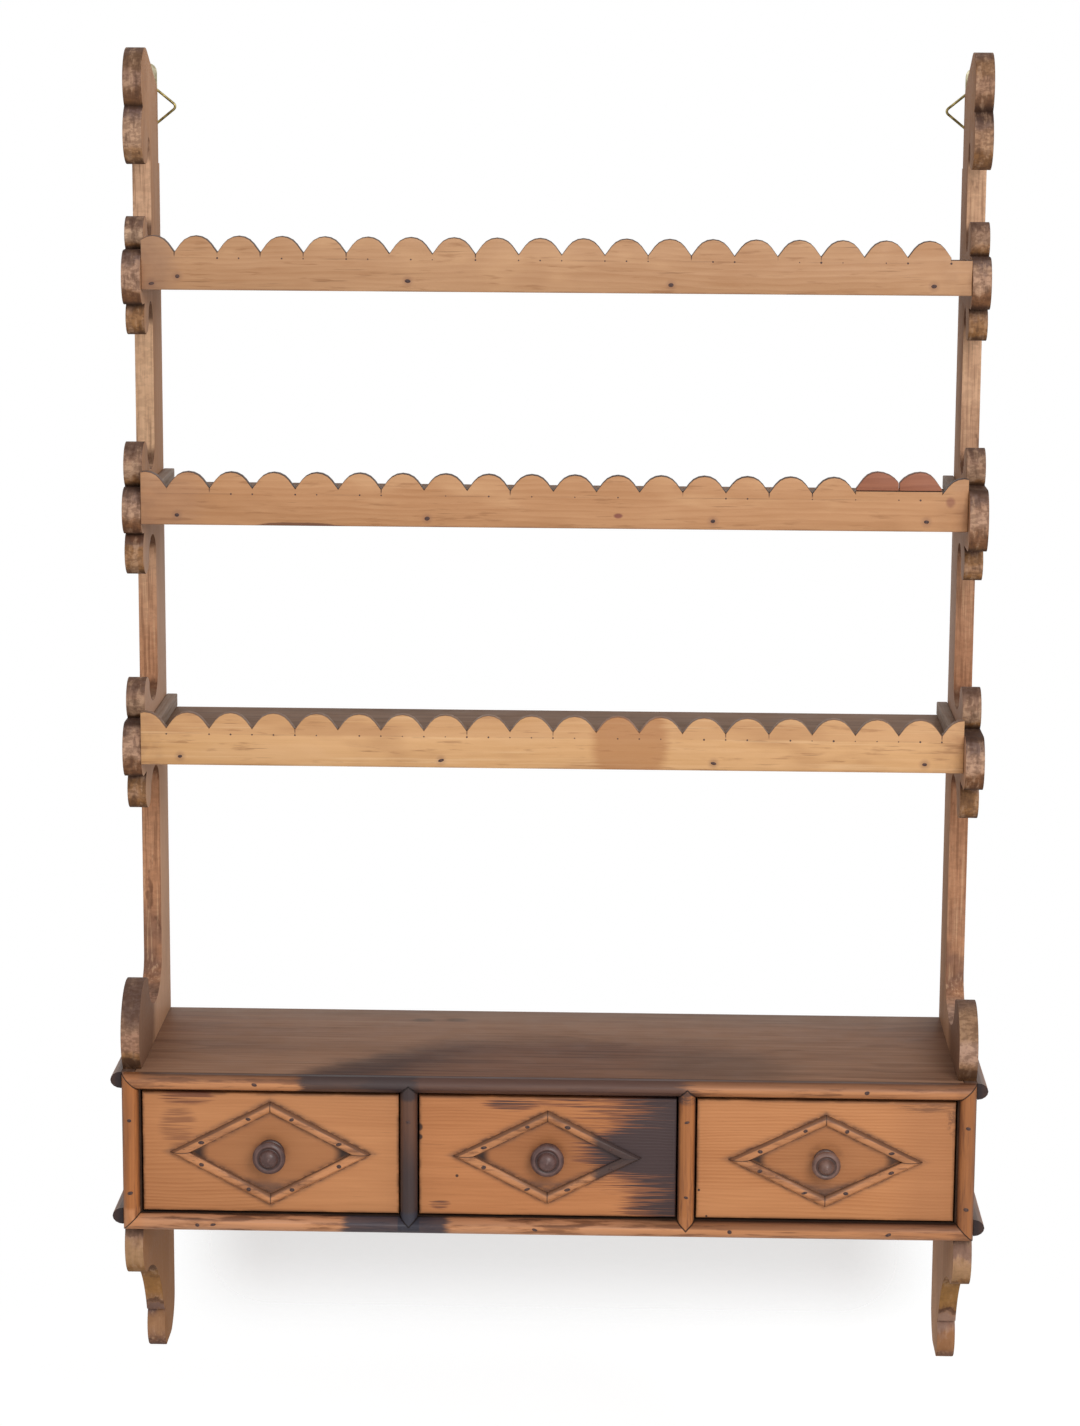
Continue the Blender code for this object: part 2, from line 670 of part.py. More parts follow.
def knob_profile():
    """Tenon, flange, neck and stepped face of a knob, as (radius, forward of the drawer front)."""
    tenon = -FRONT_T
    return [
        (0.0, tenon),
        (TENON_R, tenon),
        (TENON_R, FIT),
        (KNOB_R * 0.84, FIT),
        (KNOB_R * 0.83, KNOB_LENGTH * 0.06),
        (KNOB_R * 0.66, KNOB_LENGTH * 0.13),
        (KNOB_R * 0.64, KNOB_LENGTH * 0.19),
        (KNOB_R * 0.88, KNOB_LENGTH * 0.28),
        (KNOB_R, KNOB_LENGTH * 0.40),
        (KNOB_R * 0.92, KNOB_LENGTH * 0.53),
        (KNOB_R * 0.81, KNOB_LENGTH * 0.60),
        (KNOB_R * 0.68, KNOB_LENGTH * 0.565),
        (KNOB_R * 0.60, KNOB_LENGTH * 0.67),
        (KNOB_R * 0.45, KNOB_LENGTH * 0.84),
        (KNOB_R * 0.22, KNOB_LENGTH * 0.935),
        (KNOB_R * 0.09, KNOB_LENGTH * 0.985),
        (0.0, KNOB_LENGTH),
    ]


def build_drawer(name, middle):
    front_face = -CASE_DEPTH
    front_rear = front_face + FRONT_T
    half_front = OPENING_W / 2 - DRAWER_SIDE_GAP
    front_low = FLOOR + DRAWER_FOOT_GAP
    front_high = ROOF - DRAWER_TOP_GAP
    rear = -BACK_T - DRAWER_REAR_GAP
    bottom_top = FLOOR + FIT + DRAWER_BOTTOM_T
    side_low = bottom_top + FIT
    side_high = ROOF - DRAWER_LOW
    box_front = front_rear + FIT
    low = (middle - half_front, front_face, front_low)
    high = (middle + half_front, front_rear, front_high)
    front = add_board(f"drawer_{name}_front", low, high, DRAWER_PINE)
    center = (middle, front_face, (front_low + front_high) / 2)
    cut(front, round_cutter(f"tenon_hole_{name}", TENON_R + FIT, 4 * FRONT_T, "Y", center))
    for side, sign in SIDES.items():
        outer = middle + sign * half_front
        inner = outer - sign * DRAWER_T
        low = (min(outer, inner), box_front, side_low)
        high = (max(outer, inner), rear, side_high)
        add_board(f"drawer_{name}_side_{side}", low, high, BOX_PINE)
    half_back = half_front - DRAWER_T - FIT
    low = (middle - half_back, rear - DRAWER_T, side_low)
    add_board(f"drawer_{name}_back", low, (middle + half_back, rear, side_high - BACK_LOW), BOX_PINE)
    low = (middle - half_front, box_front, FLOOR + FIT)
    add_board(f"drawer_{name}_bottom", low, (middle + half_front, rear, bottom_top), BOX_PINE)
    beside, above = DIAMONDS[name]
    half_w = half_front - beside
    half_h = (front_high - front_low) / 2 - above
    diamond_frame(f"drawer_{name}_diamond", half_w, half_h, (center[0], front_face - FIT, center[2]))
    add_turned(f"drawer_{name}_knob", knob_profile(), center, KNOB_WOOD, 20)


for drawer_name, drawer_middle in DRAWER_X.items():
    build_drawer(drawer_name, drawer_middle)


# Hangers

def hanger_plate(side, sign):
    """A strap with round ends, holes for hanging and for its screws, and a knuckle for the ring."""
    end_r = PLATE_W / 2
    strap = ellipse((0.0, PLATE_TOP - end_r), end_r, end_r, 0, 180)
    strap += ellipse((0.0, PLATE_BOTTOM + end_r), end_r, end_r, 180, 360)
    holes = [hole((0.0, PLATE_TOP - end_r), PLATE_HOLE_R)]
    holes += [hole((0.0, height), SCREW_R + FIT) for height in SCREW_HEIGHTS.values()]
    place = (sign * HANGER_X, (PLATE_FRONT + PLATE_REAR) / 2, CASE_TOP)
    upright = (math.pi / 2, 0, 0)
    plate = add_outline("hanger_plate_" + side, [strap] + holes, PLATE_T, upright, place, PLATE_METAL)
    axis = (sign * HANGER_X, HINGE_Y, CASE_TOP + RING_HEIGHT)
    cut(plate, round_cutter("knuckle_" + side, KNUCKLE_R, KNUCKLE_L, "Z", axis), "UNION")
    cut(plate, round_cutter("knuckle_bore_" + side, WIRE_R + FIT, 2 * KNUCKLE_L, "Z", axis))


def hanger_ring(side, sign):
    """A triangular wire ring whose upright side turns in the knuckle; its origin is on that axis."""
    reach = -sign * RING_REACH
    corners = [Vector((0, 0, RING_BASE / 2)), Vector((reach, 0, 0)), Vector((0, 0, -RING_BASE / 2))]
    curve = bpy.data.curves.new("hanger_ring_" + side, "CURVE")
    curve.dimensions = "3D"
    curve.bevel_depth = WIRE_R
    curve.bevel_resolution = 2
    path = []
    for i, corner in enumerate(corners):
        path += rounded_corner(corners[i - 1], corner, corners[(i + 1) % 3])
    spline = curve.splines.new("POLY")
    spline.points.add(len(path) - 1)
    for point, co in zip(spline.points, path):
        point.co = (*co, 1.0)
    spline.use_cyclic_u = True
    ring = bpy.data.objects.new(curve.name, curve)
    curve.materials.append(RING_METAL)
    parts.objects.link(ring)
    ring.location = (sign * HANGER_X, HINGE_Y, CASE_TOP + RING_HEIGHT)


def rounded_corner(before, corner, after):
    """Points round one bend of the wire."""
    into = (before - corner).normalized()
    out = (after - corner).normalized()
    half = into.angle(out) / 2
    center = corner + (into + out).normalized() * (RING_BEND / math.sin(half))
    start = corner + into * (RING_BEND / math.tan(half)) - center
    stop = corner + out * (RING_BEND / math.tan(half)) - center
    return [center + start.slerp(stop, i / 5) * RING_BEND for i in range(6)]


def hanger_screw(side, sign, place_name, height):
    """A round-headed screw; the head lies on the plate's rear face and the shank runs into the board."""
    head = [
        (0.0, -SCREW_HEAD_H),
        (SCREW_HEAD_R * 0.6, -SCREW_HEAD_H * 0.85),
        (SCREW_HEAD_R, -SCREW_HEAD_H * 0.2),
        (SCREW_HEAD_R, -FIT),
        (SCREW_R, -FIT),
        (SCREW_R, SCREW_L - SCREW_R * 3),
        (0.0, SCREW_L - SCREW_R),
    ]
    place = (sign * HANGER_X, PLATE_REAR, CASE_TOP + height)
    add_turned(f"hanger_screw_{place_name}_{side}", head, place, SCREW_STEEL, 12)


for hanger_side, hanger_sign in SIDES.items():
    hanger_plate(hanger_side, hanger_sign)
    hanger_ring(hanger_side, hanger_sign)
    for screw_name, screw_height in SCREW_HEIGHTS.items():
        hanger_screw(hanger_side, hanger_sign, screw_name, screw_height)

bpy.context.view_layer.update()
print("Pieces:", len(parts.objects))
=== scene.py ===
# %% [markdown]
# # An old pine hanging shelf
# Two scroll-cut side boards carry three shelves behind scalloped galleries, and a low case with
# three drawers closes the foot. The construction comes ready made, as solids with real joints.
# This lesson gives those solids their looks: honey-coloured pine, scorch marks, worn varnish,
# turned knobs and nail heads.

# %% Load the construction
import math

import bmesh
import bpy
from mathutils import Matrix, Vector


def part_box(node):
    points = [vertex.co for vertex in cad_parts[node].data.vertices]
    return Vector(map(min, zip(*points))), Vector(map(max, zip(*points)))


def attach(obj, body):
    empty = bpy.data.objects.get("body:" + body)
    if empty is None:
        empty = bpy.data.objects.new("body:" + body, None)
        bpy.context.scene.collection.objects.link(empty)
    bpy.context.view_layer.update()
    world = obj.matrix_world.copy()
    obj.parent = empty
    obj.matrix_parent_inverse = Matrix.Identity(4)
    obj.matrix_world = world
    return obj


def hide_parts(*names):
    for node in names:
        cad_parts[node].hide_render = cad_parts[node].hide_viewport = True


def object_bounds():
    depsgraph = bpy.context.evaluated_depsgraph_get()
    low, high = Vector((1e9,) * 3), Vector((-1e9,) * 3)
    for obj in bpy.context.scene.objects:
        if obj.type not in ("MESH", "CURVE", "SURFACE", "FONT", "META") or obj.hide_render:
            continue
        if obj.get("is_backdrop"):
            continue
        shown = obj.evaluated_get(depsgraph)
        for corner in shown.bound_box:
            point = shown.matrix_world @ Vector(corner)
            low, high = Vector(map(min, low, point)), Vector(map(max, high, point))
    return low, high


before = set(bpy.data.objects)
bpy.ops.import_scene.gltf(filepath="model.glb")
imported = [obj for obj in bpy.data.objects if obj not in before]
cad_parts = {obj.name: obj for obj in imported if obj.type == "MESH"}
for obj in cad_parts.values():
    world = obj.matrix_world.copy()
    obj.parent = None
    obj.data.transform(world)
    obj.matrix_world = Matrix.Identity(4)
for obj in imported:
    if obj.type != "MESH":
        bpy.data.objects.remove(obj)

solid_low, solid_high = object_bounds()
size = (solid_high - solid_low) * 1000
print(f"{len(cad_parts)} pieces, {size.x:.0f} x {size.y:.0f} x {size.z:.0f} mm")

# %% [markdown]
# ## The camera
# The photograph was taken from about three metres, a little higher than the side boards and a
# hand's breadth to the right of the middle. A camera that is found from the photograph stands in
# one place only, so it is written as a place and three small turns rather than aimed at a target.

# %% Set up the camera
PHOTO_H = 1426                   # height of the photograph in pixels
FOCAL_PIXELS = 3649.0            # focal length, also in pixels
EYE = Vector((0.0679, -3.073, 0.9217))
DOWN = math.radians(10.86)
ASIDE = math.radians(1.52)
TILT = math.radians(-0.34)

lens = bpy.data.cameras.new("photo_camera")
lens.sensor_fit = "VERTICAL"
lens.sensor_height = 36.0
lens.lens = FOCAL_PIXELS * lens.sensor_height / PHOTO_H
level = Vector((math.cos(ASIDE), math.sin(ASIDE), 0.0))
ahead = Vector((-math.sin(ASIDE) * math.cos(DOWN), math.cos(ASIDE) * math.cos(DOWN), -math.sin(DOWN)))
above = level.cross(ahead)
across = math.cos(TILT) * level - math.sin(TILT) * above
upright = math.sin(TILT) * level + math.cos(TILT) * above
camera = bpy.data.objects.new("photo_camera", lens)
camera.matrix_world = Matrix.Translation(EYE) @ Matrix((across, upright, -ahead)).transposed().to_4x4()
bpy.context.scene.collection.objects.link(camera)
bpy.context.scene.camera = camera
bpy.context.scene.view_settings.view_transform = "Standard"
print(f"lens {lens.lens:.1f} mm, {-EYE.y:.2f} m in front of the wall")

# %% [markdown]
# ## Studio light
# A white room lights the shelf evenly, and one large soft lamp, high in front and a little to the
# right, gives the strips and knobs their form. Room and lamp together light a face that looks
# forward by about one, so a colour renders about as it is written. The camera and shiny metal see
# the room as plain white.

# %% Light the room
ROOM_LIGHT = 0.60
LAMP_POWER = 41.0
LAMP_AT = Vector((0.95, -2.7, 1.65))
LAMP_AIM = Vector((0.0, -0.1, 0.25))

room = bpy.data.worlds.new("white_room")
bpy.context.scene.world = room
room.use_nodes = True
sky = room.node_tree.nodes["Background"]
sky.inputs["Color"].default_value = (1.0, 1.0, 1.0, 1.0)
sky.inputs["Strength"].default_value = ROOM_LIGHT
seen = room.node_tree.nodes.new("ShaderNodeBackground")
seen.inputs["Color"].default_value = (1.0, 1.0, 1.0, 1.0)
seen.inputs["Strength"].default_value = 1.0
rays = room.node_tree.nodes.new("ShaderNodeLightPath")
glossy = room.node_tree.nodes.new("ShaderNodeMath")
glossy.operation = "MAXIMUM"
direct = room.node_tree.nodes.new("ShaderNodeMath")
direct.operation = "MAXIMUM"
either = room.node_tree.nodes.new("ShaderNodeMixShader")
join = room.node_tree.links.new
join(rays.outputs["Is Glossy Ray"], glossy.inputs[0])
join(rays.outputs["Is Transmission Ray"], glossy.inputs[1])
join(rays.outputs["Is Camera Ray"], direct.inputs[0])
join(glossy.outputs[0], direct.inputs[1])
join(direct.outputs[0], either.inputs["Fac"])
join(sky.outputs[0], either.inputs[1])
join(seen.outputs[0], either.inputs[2])
join(either.outputs[0], room.node_tree.nodes["World Output"].inputs["Surface"])

lamp = bpy.data.lights.new("soft_lamp", "AREA")
lamp.shape = "DISK"
lamp.size = 1.5
lamp.energy = LAMP_POWER
lamp_stand = bpy.data.objects.new("soft_lamp", lamp)
lamp_stand.location = LAMP_AT
lamp_stand.rotation_euler = (LAMP_AIM - LAMP_AT).to_track_quat("-Z", "Y").to_euler()
bpy.context.scene.collection.objects.link(lamp_stand)
print(f"room at {ROOM_LIGHT}, lamp of {LAMP_POWER:.0f} W")

# %% [markdown]
# ## A finisher's bench
# Every surface here is old wood or metal, and each has its own mix of grain, stain and wear. Two
# small helpers keep those mixes readable. A Field is a number that varies over a surface, so that
# sums and products of fields become Math nodes. A Finish holds one material and gives its fields:
# the place on the object, the direction that a face looks, and noise drawn out along the grain.

# %% Fields that vary over a surface
class Field:
    """A number that varies over a surface."""

    def __init__(self, finish, socket):
        self.finish = finish
        self.socket = socket

    def math(self, operation, *others):
        node = self.finish.node("ShaderNodeMath", operation=operation)
        for socket, value in zip(node.inputs, (self, *others)):
            self.finish.feed(socket, value)
        return Field(self.finish, node.outputs[0])

    def __add__(self, other):
        return self.math("ADD", other)

    def __sub__(self, other):
        return self.math("SUBTRACT", other)

    def __mul__(self, other):
        return self.math("MULTIPLY", other)

    def __truediv__(self, other):
        return self.math("DIVIDE", other)

    def __abs__(self):
        return self.math("ABSOLUTE")

    def most(self, other):
        return self.math("MAXIMUM", other)

    def least(self, other):
        return self.math("MINIMUM", other)

    def rise(self, start, end):
        """0 on one side of start, 1 beyond end, and a soft ramp between them."""
        node = self.finish.node("ShaderNodeMapRange", interpolation_type="SMOOTHSTEP")
        self.finish.feed(node.inputs["Value"], self)
        node.inputs["From Min"].default_value = start
        node.inputs["From Max"].default_value = end
        return Field(self.finish, node.outputs["Result"])


# %% One finish
class Finish:
    """A material that is mixed step by step."""

    def __init__(self, name, metallic=0.0, gloss=0.35):
        self.material = bpy.data.materials.new(name)
        self.material.use_nodes = True
        self.tree = self.material.node_tree
        self.shader = self.tree.nodes["Principled BSDF"]
        self.shader.inputs["Metallic"].default_value = metallic
        self.shader.inputs["Specular IOR Level"].default_value = gloss
        self.place = self.node("ShaderNodeTexCoord").outputs["Object"]
        self.x, self.y, self.z = self.split(self.place)
        normal = self.node("ShaderNodeNewGeometry").outputs["Normal"]
        self.facing_x, self.facing_y, self.facing_z = self.split(normal)

    def node(self, kind, **settings):
        node = self.tree.nodes.new(kind)
        for name, value in settings.items():
            setattr(node, name, value)
        return node

    def feed(self, socket, value):
        if isinstance(value, Field):
            value = value.socket
        if isinstance(value, bpy.types.NodeSocket):
            self.tree.links.new(value, socket)
        else:
            socket.default_value = value

    def split(self, vector):
        node = self.node("ShaderNodeSeparateXYZ")
        self.feed(node.inputs[0], vector)
        return [Field(self, socket) for socket in node.outputs]

    def noise(self, scale, stretch=(1.0, 1.0, 1.0), detail=3.0, shift=0.0):
        mapping = self.node("ShaderNodeMapping")
        self.feed(mapping.inputs["Vector"], self.place)
        mapping.inputs["Location"].default_value = (shift, shift, shift)
        mapping.inputs["Scale"].default_value = stretch
        texture = self.node("ShaderNodeTexNoise")
        self.feed(texture.inputs["Vector"], mapping.outputs[0])
        texture.inputs["Scale"].default_value = scale
        texture.inputs["Detail"].default_value = detail
        texture.inputs["Roughness"].default_value = 0.6
        return Field(self, texture.outputs["Fac"])

    def ramp(self, field, *stops):
        node = self.node("ShaderNodeValToRGB")
        self.feed(node.inputs["Fac"], field)
        elements = node.color_ramp.elements
        while len(elements) < len(stops):
            elements.new(1.0)
        for element, (position, color) in zip(elements, stops):
            element.position = position
            element.color = color
        return node.outputs["Color"]

    def over(self, under, color, amount):
        """Lays one colour over another, by an amount that varies."""
        node = self.node("ShaderNodeMix", data_type="RGBA")
        self.feed(node.inputs["Factor"], amount)
        self.feed(node.inputs[6], under)
        self.feed(node.inputs[7], color)
        return node.outputs[2]

    def lay(self, color, roughness, height, depth=0.0004):
        """Joins colour, roughness and relief to the shader."""
        self.feed(self.shader.inputs["Base Color"], color)
        self.feed(self.shader.inputs["Roughness"], roughness)
        bump = self.node("ShaderNodeBump")
        bump.inputs["Strength"].default_value = 0.6
        bump.inputs["Distance"].default_value = depth
        self.feed(bump.inputs["Height"], height)
        self.feed(self.shader.inputs["Normal"], bump.outputs[0])
        return self.material


def tone(red, green, blue):
    """A colour as seen on a screen, from 0 to 255, as the shader wants it."""
    parts = [value / 255 for value in (red, green, blue)]
    return (*[v / 12.92 if v <= 0.04045 else ((v + 0.055) / 1.055) ** 2.4 for v in parts], 1.0)


# %% [markdown]
# ## Floor and shadow
# The shelf hangs against a white wall, and only the shadow below its case is seen on it. A panel
# just behind the case catches that shadow and is clear round it. The panel is also clear from
# behind and for the light, so that the back of the shelf stays lit and in view. A pale floor lies
# well below the feet and fades into white.

# %% Lay the floor and hang the shadow panel
FLOOR_Z = -0.50
FLOOR_HALF = 4.0
PANEL_Y = 0.006
PANEL = (0.62, -0.40, -0.02)     # half its width, its lower and its upper edge


def flat_sheet(name, corners, material):
    mesh = bpy.data.meshes.new(name)
    mesh.from_pydata(corners, [], [(0, 1, 2, 3)])
    mesh.materials.append(material)
    sheet = bpy.data.objects.new(name, mesh)
    bpy.context.scene.collection.objects.link(sheet)
    sheet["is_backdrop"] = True
    return sheet


def pale_surface(name, glow, paint):
    """White paint that also glows a little where the camera sees it."""
    finish = Finish(name, gloss=0.0)
    finish.shader.inputs["Base Color"].default_value = (paint, paint, paint, 1.0)
    finish.shader.inputs["Roughness"].default_value = 1.0
    finish.shader.inputs["Emission Color"].default_value = (1.0, 1.0, 1.0, 1.0)
    light = finish.node("ShaderNodeLightPath")
    camera_only = Field(finish, light.outputs["Is Camera Ray"])
    finish.feed(finish.shader.inputs["Emission Strength"], camera_only * glow)
    return finish, camera_only


def fade_to_white(finish, kept):
    """Plain white wherever kept is 0, so that a surface has no visible end."""
    white = finish.node("ShaderNodeEmission")
    mix = finish.node("ShaderNodeMixShader")
    finish.feed(mix.inputs["Fac"], kept)
    finish.feed(mix.inputs[1], white.outputs[0])
    finish.feed(mix.inputs[2], finish.shader.outputs[0])
    return mix.outputs[0]


floor_paint, floor_seen = pale_surface("pale_floor", 0.53, 0.80)
away = (floor_paint.x * floor_paint.x + floor_paint.y * floor_paint.y).math("SQRT")
faded = fade_to_white(floor_paint, away.rise(1.10, 0.55).most(floor_seen * -1.0 + 1.0))
floor_paint.feed(floor_paint.tree.nodes["Material Output"].inputs["Surface"], faded)
signs = ((-1, -1), (1, -1), (1, 1), (-1, 1))
flat_sheet("floor", [(FLOOR_HALF * a, FLOOR_HALF * b, FLOOR_Z) for a, b in signs], floor_paint.material)

wall_paint, wall_seen = pale_surface("white_wall", 0.54, 0.48)
wide, low, high = PANEL
shaded = abs(wall_paint.x).rise(0.345, 0.250) * wall_paint.z.rise(-0.245, -0.155)
clear = wall_paint.node("ShaderNodeBsdfTransparent")
one_way = wall_paint.node("ShaderNodeMixShader")
behind = Field(wall_paint, wall_paint.node("ShaderNodeNewGeometry").outputs["Backfacing"])
wall_paint.feed(one_way.inputs["Fac"], wall_seen * (behind * -1.0 + 1.0) * shaded)
wall_paint.feed(one_way.inputs[1], clear.outputs[0])
wall_paint.feed(one_way.inputs[2], wall_paint.shader.outputs[0])
wall_paint.feed(wall_paint.tree.nodes["Material Output"].inputs["Surface"], one_way.outputs[0])
corners = [(-wide, PANEL_Y, low), (wide, PANEL_Y, low), (wide, PANEL_Y, high), (-wide, PANEL_Y, high)]
flat_sheet("shadow_panel", corners, wall_paint.material)
print("floor at", FLOOR_Z, "m, shadow panel", 2 * wide, "m wide")

# %% [markdown]
# ## Pine
# All the boards are pine. Its growth rings lie round the heart of the tree, so a field that
# measures the distance to a heart line gives lines on every face of a board at once, along its
# length and across its ends. Fine streaks, soft clouds and a few dark flecks go over them.

# %% Mix bare pine
GRAIN = {"X": (0.035, 1.0, 1.0), "Y": (1.0, 0.035, 1.0), "Z": (1.0, 1.0, 0.035)}
SWAY = {"X": (0.25, 1.0, 1.0), "Y": (1.0, 0.25, 1.0), "Z": (1.0, 1.0, 0.25)}


def pine(finish, along, early, late, heart, spacing=0.0030, lines=0.16):
    """Colour of planed pine and its relief; heart is where the tree's middle lies across the grain."""
    sides = {"X": (finish.y, finish.z), "Y": (finish.x, finish.z), "Z": (finish.x, finish.y)}[along]
    a = sides[0] - heart[0]
    b = sides[1] - heart[1]
    wander = (finish.noise(7.0, SWAY[along], detail=4.0) - 0.5) * 0.030
    ring = (((a * a + b * b).math("SQRT") + wander) / spacing).math("FRACT")
    cloud = finish.noise(11.0, SWAY[along], detail=3.0)
    line = ring.rise(0.15, 0.85) * ring.rise(1.0, 0.90) * cloud.rise(0.25, 0.70)
    streak = finish.noise(420.0, GRAIN[along], detail=4.0)
    band = finish.noise(110.0, GRAIN[along], detail=3.0, shift=1.3)
    figure = line * lines * 1.4 + streak * 0.58 + band * 0.60 + cloud * 0.85 - 0.72
    color = finish.ramp(figure, (0.0, early), (0.85, late))
    fleck = finish.noise(520.0, GRAIN[along], detail=2.0, shift=3.7).rise(0.66, 0.76)
    return color, figure, fleck


def blot(finish, ragged=0.5, soft=0.3, grain=(0.10, 1.0, 1.0), shift=0.0, **spans):
    """A stain with a ragged border: spans give where it begins and ends along x, y or z."""
    reach = None
    for axis, (start, end) in spans.items():
        part = (getattr(finish, axis) - (start + end) / 2) / ((end - start) / 2)
        reach = part * part if reach is None else reach + part * part
    coarse = finish.noise(190.0, grain, detail=4.0, shift=shift)
    teeth = coarse * 0.5 + finish.noise(650.0, grain, shift=shift) * 0.5
    border = reach.math("SQRT") + (teeth - 0.5) * 2.4 * ragged
    return border.rise(1.0 + soft / 2, 1.0 - soft / 2)


def spots(finish, *places, soft=0.6):
    """Small round holes and dark spots: x, z and radius of each."""
    marks = None
    for x, z, radius in places:
        a = finish.x - x
        b = finish.z - z
        mark = (a * a + b * b).math("SQRT").rise(radius, radius * soft)
        marks = mark if marks is None else marks.most(mark)
    return marks


def dress(material, *names):
    """Gives a finish to pieces of the construction."""
    for name in names:
        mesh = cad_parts[name].data
        for i in range(len(mesh.materials)):
            mesh.materials[i] = material


# %% [markdown]
# ## Planed and worn copies
# No edge on an old piece of furniture is sharp, and a half-round strip shows no facets. A copy of a
# solid, with its triangles merged back into whole faces, can have its outer edges eased by a small
# bevel and its round parts shaded smooth. The copy then stands in for the solid, exactly where it
# lay. Broad faces keep their own flat shading, so the easing does not tilt the light on them. The
# ends of the brackets below the case are also rounded across the thickness of the board.

# %% Make a copy of a solid
BROAD = 0.0004                   # square metres
FOOT_STEPS = 5


def round_foot(shape, radius):
    """Rounds the lower end of an upright board across its thickness."""
    lowest = min(vert.co.z for vert in shape.verts)
    reach = [vert.co.x for vert in shape.verts if vert.co.z < lowest + radius]
    middle, half = (min(reach) + max(reach)) / 2, (max(reach) - min(reach)) / 2
    for step in range(FOOT_STEPS):
        level = lowest + radius * (1.0 - math.sin(math.pi / 2 * step / FOOT_STEPS))
        everything = [*shape.verts, *shape.edges, *shape.faces]
        bmesh.ops.bisect_plane(shape, geom=everything, plane_co=(0.0, 0.0, level), plane_no=(0.0, 0.0, 1.0))
    for vert in shape.verts:
        drop = max(0.0, 1.0 - (vert.co.z - lowest) / radius)
        narrowed = radius / half * (1.0 - math.sqrt(1.0 - drop * drop))
        vert.co.x = middle + (vert.co.x - middle) * (1.0 - narrowed)


def planed_copy(name, material, body="carcass", turn=35.0, ease=0.0, least=0.0, foot=0.0):
    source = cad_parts[name]
    mesh = bpy.data.meshes.new(name + "_wood")
    shape = bmesh.new()
    shape.from_mesh(source.data)
    bmesh.ops.remove_doubles(shape, verts=shape.verts, dist=0.00002)
    bmesh.ops.dissolve_limit(shape, angle_limit=math.radians(1.0), verts=shape.verts, edges=shape.edges)
    if ease:
        corners = [edge for edge in shape.edges if edge.is_manifold and edge.is_convex]
        corners = [edge for edge in corners if edge.calc_face_angle() > 0.7 and edge.calc_length() > least]
        bmesh.ops.bevel(shape, geom=corners, offset=ease, segments=3, profile=0.5,
                        affect="EDGES", clamp_overlap=True)
    if foot:
        round_foot(shape, foot)
    for polygon in shape.faces:
        polygon.smooth = not ease or polygon.calc_area() < BROAD
    shape.to_mesh(mesh)
    shape.free()
    mesh.set_sharp_from_angle(angle=math.radians(turn))
    mesh.materials.clear()
    mesh.materials.append(material)
    piece = bpy.data.objects.new(name + "_wood", mesh)
    bpy.context.scene.collection.objects.link(piece)
    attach(piece, body)
    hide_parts(name)
    return piece


# %% [markdown]
# ## Gallery rails
# The rails are honey-coloured and still show how they were set out: a centre line was scribed
# along the board, a compass prick marks each centre and a saw cut each notch. The saw-cut edges
# are dark with old wax and with painted shade. Each rail is its own board, so each gets its own
# mix and its own marks.

# %% Finish the rails
SCALLOPS = {                     # height of the centre line, first notch, and the distance between notches
    "upper": (0.7263, -0.3073, 0.0347),
    "middle": (0.5380, -0.3132, 0.0348),
    "lower": (0.3436, -0.3135, 0.0350),
}
NOTCH_RISE = 0.0046              # height of the notches above that line
RAIL_NAILS = {                   # x of each nail and its height above the rail's lower edge
    "upper": ((-0.326, 0.005), (-0.305, 0.011), (-0.119, 0.0085), (0.093, 0.007), (0.304, 0.0075)),
    "middle": ((-0.305, 0.008), (-0.102, 0.007), (0.129, 0.007), (0.301, 0.008)),
    "lower": ((-0.3025, 0.007), (-0.0895, 0.006), (0.132, 0.006), (0.303, 0.007)),
}


def rail_finish(name, early, late, heart):
    rail = Finish("honey_pine_rail_" + name)
    color, figure, fleck = pine(rail, "X", early, late, heart)
    line, first, pitch = SCALLOPS[name]
    worn = rail.noise(45.0, (0.4, 1.0, 1.0))
    scribed = abs(rail.z - line).rise(0.0006, 0.0002) * worn.rise(0.46, 0.66) * 0.25
    along = ((rail.x - first) / pitch + 0.5).math("FRACT") - 0.5
    notch = line + NOTCH_RISE
    chosen = rail.noise(30.0, (1.0, 0.01, 0.01), detail=1.0, shift=line).rise(0.50, 0.58)
    sawn = (abs(along) * pitch).rise(0.0007, 0.0002) * rail.z.rise(notch - 0.0045, notch - 0.0010) * chosen
    low_corner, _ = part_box("gallery_" + name)
    rim = rail.z.rise(low_corner.z + 0.0022, low_corner.z) * worn.rise(0.3, 0.7) * 0.5
    # Painted shade with old wax: the saw-cut edges that face up are darkened.
    edge = rail.facing_z.rise(0.20, 0.55) * 0.95
    rusty = spots(rail, *[(x, low_corner.z + up, 0.0060) for x, up in RAIL_NAILS[name]], soft=0.2)
    handled = rail.noise(24.0, (0.35, 1.0, 1.0), detail=3.0, shift=line)
    dashes = rail.noise(260.0, (0.11, 1.0, 1.0), detail=3.0, shift=line + 2.1).rise(0.57, 0.72)
    ends = abs(rail.x).rise(0.300, 0.338) * rail.noise(60.0).rise(0.25, 0.75) * 0.45
    color = rail.over(color, tone(166, 114, 72), handled.rise(0.50, 0.68) * 0.40)
    color = rail.over(color, tone(226, 180, 134), handled.rise(0.46, 0.30) * 0.30)
    color = rail.over(color, tone(146, 98, 60), dashes * 0.50)
    color = rail.over(color, tone(122, 84, 52), fleck * 0.55)
    color = rail.over(color, tone(132, 92, 68), ends)
    color = rail.over(color, tone(138, 96, 76), rusty * 0.45)
    color = rail.over(color, tone(110, 72, 48), rim)
    color = rail.over(color, tone(56, 37, 31), edge)
    color = rail.over(color, tone(70, 45, 34), scribed.most(sawn))
    return rail, color, figure


